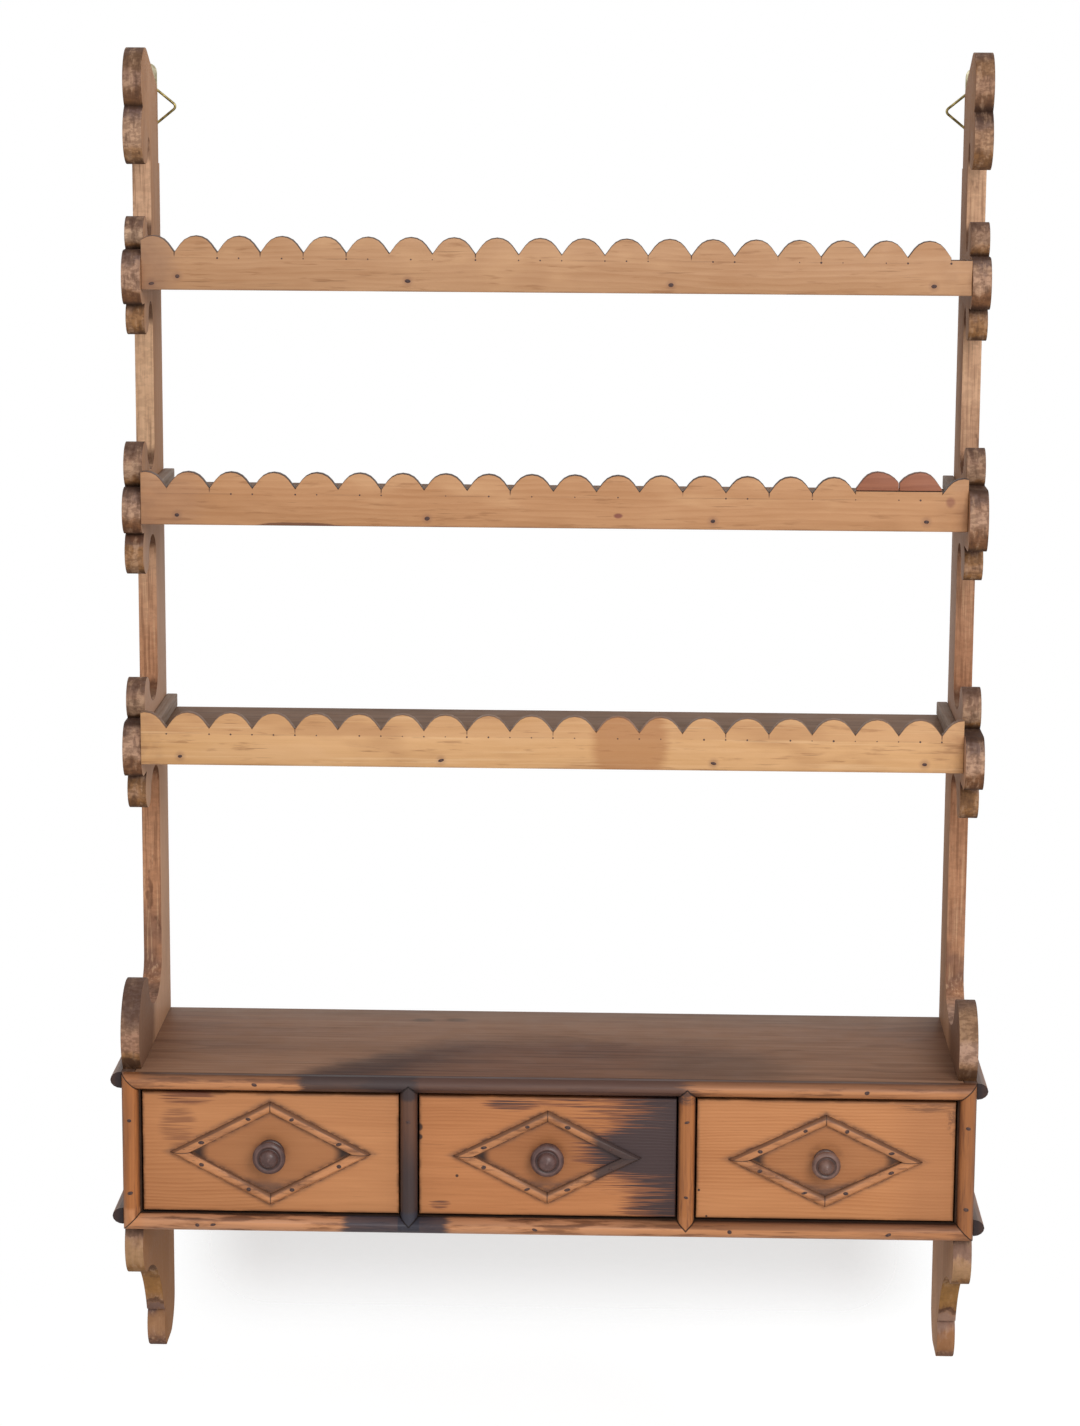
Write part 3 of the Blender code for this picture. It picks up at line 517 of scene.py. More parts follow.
def lay_rail(name, rail, color, figure):
    dull = rail.noise(70.0) * 0.25 + 0.42
    planed_copy("gallery_" + name, rail.lay(color, dull, figure), ease=0.0007)


rail, color, figure = rail_finish("upper", tone(200, 154, 115), tone(172, 124, 84), (0.10, 0.52))
smoke = blot(rail, ragged=0.35, soft=0.8, x=(-0.352, -0.308), z=(0.690, 0.750)) * 0.36
lay_rail("upper", rail, rail.over(color, tone(132, 100, 84), smoke), figure)

rail, color, figure = rail_finish("middle", tone(203, 152, 109), tone(174, 121, 78), (0.08, 0.36))
smoke = blot(rail, ragged=0.4, soft=0.8, x=(-0.350, -0.285), z=(0.505, 0.565)) * 0.26
knot = blot(rail, ragged=0.20, soft=0.7, x=(0.0490, 0.0560), z=(0.5212, 0.5250)) * 0.85
smudge = blot(rail, ragged=0.25, soft=0.9, x=(0.3165, 0.3235), z=(0.5325, 0.5405)) * 0.55
scorch = blot(rail, ragged=0.7, soft=0.3, x=(-0.245, -0.165), z=(0.5095, 0.5150)) * 0.8
color = rail.over(color, tone(150, 112, 92), smoke)
color = rail.over(color, tone(124, 66, 60), knot.most(smudge))
lay_rail("middle", rail, rail.over(color, tone(96, 58, 44), scorch), figure)

rail, color, figure = rail_finish("lower", tone(223, 174, 124), tone(196, 145, 90), (0.12, 0.12))
stain = blot(rail, ragged=0.25, soft=0.35, x=(0.034, 0.094), z=(0.300, 0.380)) * 0.6
scallops = rail.z.rise(SCALLOPS["lower"][0] - 0.0006, SCALLOPS["lower"][0] + 0.0006)
pale_streaks = rail.noise(330.0, (0.02, 1.0, 1.0), detail=3.0, shift=6.4).rise(0.56, 0.70)
color = rail.over(color, tone(190, 138, 98), scallops * 0.28)
color = rail.over(color, tone(236, 196, 150), pale_streaks * 0.35)
lay_rail("lower", rail, rail.over(color, tone(168, 110, 66), stain), figure)
print("finished three rails")

# %% [markdown]
# Two scallops of the middle rail were replaced with a redder wood, and the joints still show.

# %% Finish the two replaced scallops
patch = Finish("red_patch_wood")
color, figure, fleck = pine(patch, "X", tone(168, 108, 80), tone(130, 74, 52), (0.05, 0.45))
color = patch.over(color, tone(86, 46, 34), fleck * 0.5)
# Painted shade with old wax: the saw-cut edges of the patches that face up are darkened, as on the rails.
color = patch.over(color, tone(96, 60, 44), patch.facing_z.rise(0.25, 0.6) * 0.8)
patch.lay(color, patch.noise(70.0) * 0.25 + 0.42, figure)
for place in ("inner", "outer"):
    planed_copy("gallery_patch_" + place, patch.material, ease=0.0007)

# %% [markdown]
# ## Side boards
# The faces of the side boards are plain waxed pine with upright grain. Their scrolled edges were
# cut across the grain and have drunk in varnish, which is now dark and broken: golden where hands
# rubbed it, nearly black on the upper sides of the lobes. The direction that a face looks tells
# edges from faces, and the distance to the wall tells lobes from the narrow stretches.

# %% Finish the side boards
LOBES = {                        # height of a shelf's lobes, half the middle lobe's height left and right
    "upper": (0.7097, 0.0220, 0.0210),
    "middle": (0.5217, 0.0190, 0.0250),
    "lower": (0.3272, 0.0225, 0.0220),
}
FINIAL_WAIST = 0.8465            # where the two discs of the finial meet

side = Finish("scroll_side_pine", gloss=0.04)
face, figure, fleck = pine(side, "Z", tone(198, 152, 118), tone(160, 116, 84), (0.0, 0.16), lines=0.12)
face = side.over(face, tone(110, 76, 54), fleck * 0.35)
smudge = side.noise(16.0, (1.0, 1.0, 0.5), detail=5.0).rise(0.52, 0.74) * 0.40
face = side.over(face, tone(128, 86, 58), smudge)
# Painted light: the left board's inner face is lightened between heights of about 0.1 and 0.6 m.
lit_left_face = side.z.rise(0.60, 0.25) * side.z.rise(0.05, 0.10) * side.x.rise(0.1, -0.1)
face = side.over(face, tone(226, 186, 156), lit_left_face * 0.45)
face = side.over(face, tone(150, 102, 62), side.z.rise(-0.05, -0.08) * side.x.rise(0.3, -0.3) * 0.70)
crest_face = blot(side, ragged=0.3, soft=0.6, grain=(1.0, 1.0, 0.2), y=(-0.225, -0.105), z=(0.030, 0.165))
face = side.over(face, tone(98, 68, 54), crest_face * 0.75)
right_board = side.x.rise(0.0, 0.1)
# Painted shade: the right board's inner face is darkened in soft patches and most in its upper part.
face = side.over(face, tone(104, 74, 56), right_board * side.noise(9.0, detail=2.0).rise(0.30, 0.60) * 0.16)
face = side.over(face, tone(122, 82, 52), right_board * side.z.rise(0.62, 0.72) * 0.42)
face = side.over(face, tone(198, 172, 158), abs(side.z - 0.42).rise(0.11, 0.05) * (right_board * 0.16 + 0.30))

# %% Finish the scrolled edges
tint = side.noise(26.0, (0.5, 1.0, 1.0), detail=2.0, shift=4.1)
crackle = side.noise(300.0, (0.6, 1.0, 1.0), detail=4.0)
lean = side.facing_z * 0.5 + 0.5 + (tint - 0.5) * 0.45 + (crackle - 0.5) * 0.04
lobe_edge = side.ramp(
    lean, (0.04, tone(104, 76, 54)), (0.22, tone(160, 114, 72)), (0.46, tone(188, 147, 118)),
    (0.66, tone(160, 125, 104)), (0.86, tone(120, 94, 81)))
neck_edge = side.ramp(tint, (0.34, tone(200, 156, 124)), (0.62, tone(224, 180, 146)))
left_pale = abs(side.z - 0.61).rise(0.10, 0.04) * right_board.rise(1.0, 0.0)
neck_edge = side.over(neck_edge, tone(222, 182, 144), left_pale * 0.45)
neck_edge = side.over(neck_edge, tone(186, 128, 92), side.z.rise(0.54, 0.36) * 0.76)
right_dark = right_board * side.z.rise(0.66, 0.56) * side.z.rise(0.15, 0.33)
neck_edge = side.over(neck_edge, tone(146, 100, 76), right_dark * 0.32)
mottled = side.noise(38.0, (0.6, 1.0, 0.6), detail=3.0, shift=2.9)
neck_edge = side.over(neck_edge, tone(122, 92, 80), side.z.rise(0.20, 0.13) * mottled.rise(0.35, 0.60) * 0.8)
neck_streaks = side.noise(420.0, GRAIN["Z"], detail=4.0, shift=2.2)
neck_edge = side.over(neck_edge, tone(112, 76, 54), neck_streaks.rise(0.50, 0.64) * 0.45)
neck_edge = side.over(neck_edge, tone(236, 194, 154), neck_streaks.rise(0.47, 0.35) * 0.35)
neck_stains = side.noise(75.0, (1.0, 1.0, 0.5), detail=3.0, shift=5.1).rise(0.62, 0.70)
neck_edge = side.over(neck_edge, tone(84, 54, 44), neck_stains * 0.50)
lobe = side.y.rise(-0.060, -0.082)

# %% [markdown]
# On every lobe the wear goes the same way: grey and dark above, rubbed to a pinkish tan where it
# stands out most, golden or red-brown underneath. Bands at set heights give each lobe its share,
# and slow noise bends them so that no two come out alike.

# %% Rub the lobes
LOBE_BANDS = (                   # height above the shelf's lobes, half the band's breadth, colour
    (0.034, 0.005, tone(188, 154, 128)),
    (0.016, 0.006, tone(124, 102, 94)),
    (0.003, 0.009, tone(200, 160, 134)),
    (-0.014, 0.008, tone(120, 80, 58)),
    (-0.034, 0.007, tone(158, 113, 70)),
)
PLACE_BANDS = (                  # left or right board, height, half the band's breadth, colour
    (-1, 0.880, 0.009, tone(122, 92, 68)), (1, 0.880, 0.009, tone(150, 112, 80)),
    (-1, 0.867, 0.005, tone(156, 122, 104)), (1, 0.864, 0.006, tone(168, 130, 106)),
    (-1, 0.856, 0.007, tone(114, 80, 60)), (1, 0.853, 0.005, tone(108, 76, 58)),
    (-1, 0.840, 0.005, tone(114, 94, 92)), (1, 0.838, 0.006, tone(126, 100, 88)),
    (-1, 0.823, 0.014, tone(206, 167, 138)), (1, 0.822, 0.011, tone(176, 136, 106)),
    (1, 0.846, 0.005, tone(62, 46, 42)),
    (-1, 0.805, 0.006, tone(178, 134, 96)), (1, 0.804, 0.006, tone(150, 108, 72)),
    (-1, 0.744, 0.007, tone(220, 184, 154)), (1, 0.744, 0.004, tone(150, 118, 98)),
    (-1, 0.121, 0.014, tone(104, 82, 74)), (1, 0.113, 0.011, tone(174, 136, 104)),
    (-1, 0.091, 0.009, tone(180, 136, 112)), (1, 0.095, 0.010, tone(200, 162, 140)),
    (-1, 0.071, 0.005, tone(52, 38, 34)), (1, 0.073, 0.007, tone(58, 40, 34)),
)
bent = side.z + (tint - 0.5) * 0.020 + (mottled - 0.5) * 0.006
broken = (side.noise(90.0, (0.9, 0.6, 0.6), detail=4.0, shift=3.6) - 0.5) * 0.030
for offset, half, color in LOBE_BANDS:
    near = abs(bent + broken - (LOBES["upper"][0] + offset))
    for name in ("middle", "lower"):
        near = near.least(abs(bent + broken - (LOBES[name][0] + offset)))
    lobe_edge = side.over(lobe_edge, color, near.rise(half * 1.4, half * 0.5) * 0.74)


def banded(under, bands, level, strength):
    for hand, height, half, color in bands:
        near = abs(level - height).rise(half * 1.4, half * 0.5) * (side.x * float(hand)).rise(0.0, 0.1)
        under = side.over(under, color, near * strength)
    return under


lobe_edge = banded(lobe_edge, PLACE_BANDS, bent + broken * 0.5, 0.78)

# %% Paint shade in the coves, then scratch and pit the edges
# Painted shade: the neck edges in the coves just behind each lobe are darkened.
behind_lobes = side.z.rise(0.799, 0.807)
for height, _, _ in LOBES.values():
    behind_lobes = behind_lobes.most(abs(side.z - height).rise(0.046, 0.036))
behind_lobes = behind_lobes * side.y.rise(-0.010, -0.022)
neck_edge = side.over(neck_edge, tone(72, 45, 35), behind_lobes * mottled.rise(0.20, 0.50) * 0.80)
edge = side.over(neck_edge, lobe_edge, lobe)
combed = side.noise(700.0, (1.0, 0.08, 0.08), detail=3.0, shift=1.9)
scratches = combed.rise(0.54, 0.70) * mottled.rise(0.45, 0.65)
edge = side.over(edge, tone(92, 66, 54), scratches * (lobe * 0.28 + 0.12))
pits = side.noise(190.0, detail=2.0, shift=8.2).rise(0.66, 0.74)
pitted = pits * side.noise(40.0, detail=2.0, shift=6.6).rise(0.48, 0.62)
edge = side.over(edge, tone(62, 40, 30), pitted * (lobe * 0.08 + 0.12))
browned = side.noise(60.0, detail=3.0, shift=5.5).rise(0.50, 0.74)
edge = side.over(edge, tone(150, 102, 70), browned * lobe * 0.22)
patches = side.noise(200.0, (1.0, 0.28, 0.28), detail=3.0, shift=7.3)
patched = lobe * (side.z.rise(0.165, 0.200).most(side.z.rise(0.060, 0.050)) * 0.6 + 0.4)
edge = side.over(edge, tone(78, 55, 47), patches.rise(0.50, 0.67) * patched * 0.52)
edge = side.over(edge, tone(214, 174, 142), patches.rise(0.49, 0.34) * patched * 0.42)
FOOT_BANDS = (                   # as the bands above, from the case down to the floor end
    (-1, -0.071, 0.004, tone(104, 78, 66)), (1, -0.070, 0.004, tone(88, 68, 60)),
    (-1, -0.090, 0.011, tone(178, 138, 98)), (1, -0.081, 0.006, tone(136, 106, 94)),
    (-1, -0.113, 0.009, tone(158, 116, 74)), (1, -0.097, 0.008, tone(180, 140, 102)),
    (-1, -0.129, 0.006, tone(98, 70, 54)), (1, -0.117, 0.010, tone(152, 110, 72)),
    (-1, -0.154, 0.014, tone(176, 126, 74)), (1, -0.150, 0.016, tone(172, 126, 72)),
    (-1, -0.175, 0.003, tone(88, 62, 54)), (1, -0.171, 0.003, tone(78, 52, 46)),
    (-1, -0.183, 0.005, tone(118, 96, 92)), (1, -0.183, 0.009, tone(160, 130, 116)),
    (-1, -0.199, 0.009, tone(174, 128, 90)), (1, -0.203, 0.009, tone(160, 110, 70)),
    (-1, -0.220, 0.007, tone(92, 68, 58)), (1, -0.220, 0.006, tone(114, 82, 64)),
)
edge = banded(edge, FOOT_BANDS, bent + broken, 0.68)

# %% [markdown]
# Dirt and painted shade sit deepest in the creases between two lobes. Their heights follow from
# the shelves, and they differ a little between the two boards because each was sawn by eye.

# %% Darken the creases and lay the finish on
# Painted shade with dirt: the creases between the lobes and at the finial's waist are darkened.
crease = abs(side.z - FINIAL_WAIST)
for height, half_left, half_right in LOBES.values():
    half = side.x.rise(-0.1, 0.1) * (half_right - half_left) + half_left
    crease = crease.least(abs(abs(side.z - height) - half))
crease = (crease + (mottled - 0.5) * 0.006).rise(0.0045, 0.0004) * lobe
edge = side.over(edge, tone(58, 42, 36), crease * 0.80)
on_edge = abs(side.facing_x).rise(0.90, 0.60)
arris = abs(side.facing_x).rise(0.995, 0.90)
color = side.over(face, edge, on_edge)
flaking = (lobe * 0.4 + 0.25) * (side.z.rise(-0.068, -0.060) * 0.70 + 0.30)
flakes = crackle.rise(0.58, 0.42) * 0.60 + 0.16
color = side.over(color, tone(84, 58, 44), arris * flakes * flaking)
rubbed_arris = arris * abs(side.facing_x).rise(0.25, 0.55)
color = side.over(color, tone(66, 46, 42), rubbed_arris * mottled.rise(0.30, 0.60) * lobe * 0.55)
# Painted shade: the boards' front edges are nearly black beside the drawers, where the gap is in shade.
drawer_gap = abs(side.z).rise(0.066, 0.064) * side.y.rise(-0.185, -0.192)
color = side.over(color, tone(40, 27, 22), drawer_gap * 0.9)
relief = figure + crackle * on_edge * 0.12
side.lay(color, crackle * 0.3 + 0.45, relief)
for hand in ("left", "right"):
    planed_copy("side_" + hand, side.material, ease=0.0011, foot=0.0045)

# %% [markdown]
# ## Shelves and case boards
# The shelves and the top of the case have lost their wax: grey-brown wood with scratches along the
# grain. Heat once darkened the middle of the case top towards its front edge. The insides of the
# case were never finished and are dark with age, and their front edges carry painted shade.

# %% Finish the shelves and their cleats
def worn_pine(name, greyed):
    """Pine that has lost its wax; a greyed board has pale streaks from front to back."""
    board = Finish(name, gloss=0.06)
    color, figure, fleck = pine(board, "X", tone(152, 121, 99), tone(104, 78, 60), (-0.05, -0.30), spacing=0.004)
    scratch = board.noise(240.0, (0.02, 1.0, 1.0), detail=3.0, shift=9.1).rise(0.62, 0.72)
    color = board.over(color, tone(176, 150, 128), scratch * 0.30)
    color = board.over(color, tone(70, 52, 42), fleck * 0.5)
    if greyed:
        streaks = board.noise(320.0, (1.0, 0.04, 1.0), detail=3.0, shift=2.4).rise(0.35, 0.65)
        color = board.over(color, tone(176, 162, 150), streaks * 0.35 + 0.25)
    return board.lay(color, board.noise(50.0) * 0.25 + 0.50, figure)


shelf_finish = worn_pine("worn_shelf_pine", greyed=False)
cleat_finish = worn_pine("grey_cleat_pine", greyed=True)
for level in ("upper", "middle", "lower"):
    planed_copy("shelf_" + level, shelf_finish, ease=0.0009)
for level in ("middle", "lower"):
    for hand in ("left", "right"):
        planed_copy(f"cleat_{level}_{hand}", cleat_finish, ease=0.0008)

# %% Finish the case boards
top = Finish("dark_case_pine", gloss=0.06)
color, figure, fleck = pine(top, "X", tone(164, 124, 98), tone(108, 76, 58), (-0.10, -0.25), spacing=0.0045)
scratch = top.noise(220.0, (0.02, 1.0, 1.0), detail=3.0, shift=5.3).rise(0.62, 0.72)
color = top.over(color, tone(172, 146, 124), scratch * 0.35)
color = top.over(color, tone(66, 46, 38), fleck * 0.5)
rear = top.y.rise(-0.06, 0.0) * 0.35
color = top.over(color, tone(134, 118, 106), rear)
smoke = (top.noise(30.0, (0.40, 1.0, 1.0), detail=5.0, shift=3.3) - 0.5) * 0.085
past_line = (top.x + 0.200) - (top.y + 0.191) + smoke
to_front = top.y * -1.0 - 0.097 + smoke * 0.6
streaks = top.noise(210.0, (0.03, 1.0, 1.0), detail=4.0, shift=8.8)
scorched = past_line.rise(-0.008, 0.050) * to_front.rise(-0.016, 0.020) * top.x.rise(0.22, 0.02)
band = past_line.rise(-0.024, 0.022) * past_line.rise(0.120, 0.040) * top.y.rise(-0.060, -0.175)
patchy = blot(top, ragged=0.6, soft=0.9, x=(0.08, 0.20), y=(-0.21, -0.12))
color = top.over(color, tone(104, 70, 58), scorched * 0.60)
color = top.over(color, tone(66, 48, 44), scorched * streaks.rise(0.46, 0.70) * 0.55)
color = top.over(color, tone(82, 66, 58), patchy * 0.40)
color = top.over(color, tone(58, 45, 44), band * (streaks * 0.5 + 0.45))
color = top.over(color, tone(62, 44, 37), top.facing_y.rise(-0.15, -0.60) * 0.75)
knots = None
for x, y in ((-0.112, -0.032), (-0.083, -0.030)):
    knot = blot(top, ragged=0.9, soft=0.9, x=(x - 0.009, x + 0.009), y=(y - 0.005, y + 0.005))
    knots = knot if knots is None else knots.most(knot)
color = top.over(color, tone(76, 64, 57), knots * 0.45)
planed_copy("case_top", top.lay(color, top.noise(50.0) * 0.25 + 0.42, figure), ease=0.0009)

inner = Finish("bare_case_pine")
color, figure, fleck = pine(inner, "X", tone(150, 112, 78), tone(104, 72, 48), (0.10, -0.20), spacing=0.0045)
grime = inner.noise(20.0, (0.5, 1.0, 1.0), detail=5.0).rise(0.45, 0.75)
color = inner.over(color, tone(66, 46, 34), grime * 0.5)
color = inner.over(color, tone(60, 40, 28), fleck * 0.5)
# Painted shade: the front edges of the case boards are nearly black, where they meet the gaps round the drawers.
color = inner.over(color, tone(40, 28, 23), inner.y.rise(-0.180, -0.192) * 0.9)
inner.lay(color, grime * 0.2 + 0.6, figure)
dress(inner.material, "case_bottom", "case_back", "partition_left", "partition_right")
print("finished shelves and case")

# %% [markdown]
# ## Half-round strips
# Half-round strips frame the drawers. Handling keeps their crowns bright orange-brown, while
# dirt and old varnish lie along both sides, so the colour follows how far a point stands proud of
# the case. The scorch marks run over them too: a long one on the top strip, one on the bottom
# strip, and the whole of the left partition strip.

# %% Finish the strips
STRIP_BASE = -0.2003             # the plane that the front strips are nailed to
STRIP_PROUD = 0.009
BURNT = tone(62, 50, 50)


def strip_color(finish, along, proud, grime=0.9):
    early, late = tone(212, 146, 98), tone(160, 102, 62)
    if along == "Z":
        early, late = tone(194, 125, 72), tone(147, 88, 47)
    color, figure, fleck = pine(finish, along, early, late, (-0.16, 0.02), spacing=0.0025)
    worn = finish.noise(170.0, tuple(0.10 + 0.9 * s for s in GRAIN[along]), detail=5.0)
    color = finish.over(color, tone(74, 46, 32), fleck * 0.6)
    color = finish.over(color, tone(110, 68, 46), worn.rise(0.52, 0.66) * 0.6)
    smoky = finish.noise(40.0, tuple(0.12 + 0.88 * s for s in GRAIN[along]), detail=4.0, shift=7.7)
    color = finish.over(color, tone(104, 66, 48), smoky.rise(0.48, 0.70) * 0.55)
    color = finish.over(color, tone(88, 57, 44), finish.facing_z.rise(0.15, 0.80) * 0.6)
    cracks = finish.noise(560.0, GRAIN[along], detail=4.0, shift=4.4).rise(0.57, 0.68)
    color = finish.over(color, tone(76, 45, 33), cracks * smoky.rise(0.36, 0.56) * 0.55)
    side_dirt = (proud + (worn - 0.5) * 0.6).rise(0.74, 0.22)
    return finish.over(color, tone(72, 47, 36), side_dirt * grime), figure, worn


def strip_joints(finish):
    """Dark lines where two strips meet: mitres at the corners, points over the partitions."""
    low_corner, high_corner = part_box("partition_strip_left")
    beside = abs(abs(finish.x) + (low_corner.x + high_corner.x) / 2)
    rough = (finish.noise(300.0, detail=2.0) - 0.5) * 0.0008
    upper_points = abs(finish.z + beside - high_corner.z + rough)
    points = upper_points.least(abs(finish.z - beside - low_corner.z + rough))
    frame_low, frame_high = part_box("front_strip_left")
    inset = abs(finish.x) + frame_low.x
    mitres = abs(finish.z - inset - frame_high.z + rough).least(abs(finish.z + inset - frame_low.z + rough))
    points = points.rise(0.0013, 0.0004) * beside.rise(0.0100, 0.0085)
    return points.most(mitres.rise(0.0011, 0.0003) * inset.rise(-0.0170, -0.0150))


def front_strips(name, along):
    strip = Finish(name)
    proud = (strip.y - STRIP_BASE) / -STRIP_PROUD
    color, figure, worn = strip_color(strip, along, proud)
    top_band = strip.z.rise(0.046, 0.050)
    low_band = strip.z.rise(-0.046, -0.050)
    # Painted light: the bottom strip is lightened in worn-looking patches over its left part.
    worn_and_lit = low_band * worn.rise(0.62, 0.45) * strip.x.rise(0.16, 0.0)
    color = strip.over(color, tone(222, 160, 118), worn_and_lit * 0.55)
    color = strip.over(color, tone(116, 70, 42), strip.x.rise(0.330, 0.338) * 0.28)
    color = strip.over(color, tone(206, 126, 64), strip.x.rise(-0.330, -0.338) * worn.rise(0.66, 0.46) * 0.25)
    black = blot(strip, ragged=0.25, soft=0.15, x=(-0.204, -0.108)) * top_band
    brown = blot(strip, ragged=0.25, soft=0.15, x=(-0.150, 0.118)) * top_band
    foot = blot(strip, ragged=0.25, soft=0.20, x=(-0.168, -0.082)) * low_band
    post = abs(strip.x + 0.1139).rise(0.0095, 0.0080) * abs(strip.z).rise(0.068, 0.060)
    color = strip.over(color, tone(82, 59, 53), brown * 0.90)
    color = strip.over(color, tone(84, 60, 52), post * 0.85)
    color = strip.over(color, BURNT, black.most(post * strip.z.rise(0.03, -0.02)) * 0.9)
    color = strip.over(color, tone(57, 56, 66), foot * 0.9)
    color = strip.over(color, tone(34, 23, 21), strip_joints(strip) * 0.85)
    strip.lay(color, worn * 0.3 + 0.32, figure + worn * 0.5)
    return strip.material


strip_along = front_strips("strip_pine_level", "X")
strip_up = front_strips("strip_pine_upright", "Z")

moulding = Finish("side_moulding_pine")
proud = (abs(moulding.x) - 0.3503) / STRIP_PROUD
color, figure, worn = strip_color(moulding, "Y", proud)
end = moulding.facing_y.rise(-0.4, -0.8)
color = moulding.over(color, tone(43, 32, 34), end * 0.95)
color = moulding.over(color, tone(96, 74, 62), moulding.facing_z.rise(0.3, 0.8) * 0.6)
moulding.lay(color, worn * 0.3 + 0.35, figure + worn * 0.5)

# %% Smooth the half-round pieces
for name in ("front_strip_top", "front_strip_bottom"):
    planed_copy(name, strip_along)
for name in ("front_strip_left", "front_strip_right", "partition_strip_left", "partition_strip_right"):
    planed_copy(name, strip_up)
for level in ("top", "bottom"):
    for hand in ("left", "right"):
        planed_copy(f"side_moulding_{level}_{hand}", moulding.material)
print("smoothed ten strips")

# %% [markdown]
# ## Drawer fronts
# The drawer fronts are orange-tan pine with fine level grain. Wax was wiped over them with the
# diamonds in place, so the wood inside a diamond is browner and dark dirt lies along the strips
# and round the knobs; painted shade is laid there too. The middle drawer is scorched at its right
# end, where the mark runs out along the grain in streaks. All of this is written as places on the
# object, in metres.

# %% Set out the drawers
DRAWERS = {                      # middle of the drawer, half the diamond's breadth and half its height
    "left": (-0.2278, 0.0830, 0.0440),
    "middle": (0.0, 0.0775, 0.0395),
    "right": (0.2278, 0.0797, 0.0392),
}
DRAWER_MID = -0.0005             # height of the middle of a drawer front
DIAMOND_W = 0.008


def from_diamond(finish, name):
    """Distance outside a diamond's outer edge; it is negative inside."""
    middle, half_w, half_h = DRAWERS[name]
    share = abs(finish.x - middle) / half_w + abs(finish.z - DRAWER_MID) / half_h - 1.0
    return share * (half_w * half_h / math.hypot(half_w, half_h))


def from_knob(finish, name):
    a = finish.x - DRAWERS[name][0]
    b = finish.z - DRAWER_MID
    return (a * a + b * b).math("SQRT")


# %% Finish a drawer front
def drawer_front(name, early, late):
    middle, half_w, half_h = DRAWERS[name]
    front = Finish("drawer_front_pine_" + name)
    color, figure, fleck = pine(front, "X", early, late, (0.06, -0.42), spacing=0.0026, lines=0.24)
    worn = front.noise(90.0, (0.4, 1.0, 1.0), detail=5.0)
    outside = from_diamond(front, name)
    within = outside.rise(-DIAMOND_W + 0.002, -DIAMOND_W - 0.002)
    # Painted shade with dirt: a thin dark line just outside the diamond, at the foot of its proud strips.
    beside = abs(outside + DIAMOND_W / 2).rise(DIAMOND_W / 2 + 0.0026, DIAMOND_W / 2)
    color = front.over(color, tone(140, 86, 50), within * 0.42)
    color = front.over(color, tone(112, 70, 44), fleck * 0.35)
    crumbs = front.noise(260.0, (0.5, 1.0, 1.0), detail=4.0, shift=6.1)
    # Painted shade with dirt: a broader soft dark band round the diamond.
    shade_and_dirt_band = abs(outside + DIAMOND_W / 2).rise(DIAMOND_W / 2 + 0.0050, DIAMOND_W / 2)
    color = front.over(color, tone(110, 78, 62), shade_and_dirt_band * worn.rise(0.30, 0.62) * 0.55)
    color = front.over(color, tone(78, 55, 47), beside * crumbs.rise(0.44, 0.60) * 0.65)
    # Painted shadow with dirt: a soft dark halo round the knob.
    by_knob = from_knob(front, name).rise(0.018, 0.011) * worn.rise(0.35, 0.65)
    color = front.over(color, tone(104, 64, 44), by_knob * 0.5)
    inner_w = half_w - DIAMOND_W * math.hypot(half_w, half_h) / half_h
    tight = abs(front.x - middle).rise(inner_w * 0.76, inner_w * 0.90) * within
    color = front.over(color, tone(46, 32, 28), tight * 0.95)
    inner_h = inner_w * half_h / half_w
    sunk = (front.z - DRAWER_MID).rise(-inner_h * 0.55, -inner_h * 0.85) * within
    color = front.over(color, tone(92, 70, 62), sunk * worn.rise(0.30, 0.55) * 0.7)
    low_corner, high_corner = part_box(f"drawer_{name}_front")
    inset = abs(front.x - middle) - (high_corner.x - low_corner.x) / 2
    inset = inset.most(abs(front.z - DRAWER_MID) - (high_corner.z - low_corner.z) / 2)
    color = front.over(color, tone(96, 62, 42), inset.rise(-0.0030, -0.0004) * worn.rise(0.3, 0.6) * 0.7)
    return front, color, figure, worn


def lay_front(name, front, color, figure, worn):
    front.lay(color, worn * 0.3 + 0.36, figure)
    planed_copy(f"drawer_{name}_front", front.material, "drawer_" + name,
                ease=0.0013, least=0.03)


# %% Finish the left drawer
front, color, figure, worn = drawer_front("left", tone(204, 140, 91), tone(172, 110, 65))
streaky = front.noise(420.0, (0.03, 1.0, 1.0), detail=2.0, shift=2.2).rise(0.40, 0.56)
upper = blot(front, ragged=0.5, soft=0.5, x=(-0.318, -0.274), z=(0.040, 0.054)) * streaky
lower = blot(front, ragged=0.5, soft=0.7, x=(-0.318, -0.290), z=(0.006, 0.038)) * streaky
color = front.over(color, tone(104, 58, 44), upper.most(lower * 0.65) * 0.8)
lay_front("left", front, color, figure, worn)

# %% Finish the middle drawer
front, color, figure, worn = drawer_front("middle", tone(204, 136, 86), tone(171, 106, 60))
grain = front.noise(800.0, (0.022, 1.0, 1.0), detail=3.0, shift=2.2).rise(0.30, 0.70)
heat = blot(front, ragged=0.12, soft=1.0, grain=(0.05, 1.0, 1.0), x=(0.036, 0.160), z=(-0.020, 0.030)) * 1.35
rightward = front.x.rise(0.040, 0.112) * 0.75
for strength, x, z in (
    (0.48, (0.030, 0.170), (0.010, 0.066)),
    (0.30, (0.020, 0.160), (-0.034, -0.006)),
    (0.34, (0.056, 0.140), (-0.064, -0.020)),
    (0.56, (-0.054, -0.004), (0.0385, 0.0490)),
    (0.46, (-0.020, 0.075), (0.0410, 0.0500)),
    (0.48, (-0.098, -0.080), (-0.0470, -0.0390)),
):
    mark = blot(front, ragged=0.15, soft=0.9, grain=(0.05, 1.0, 1.0), x=x, z=z)
    heat = heat.most(mark * (rightward + strength))
reddened = (heat + (grain - 0.5) * 0.7).rise(0.26, 0.58)
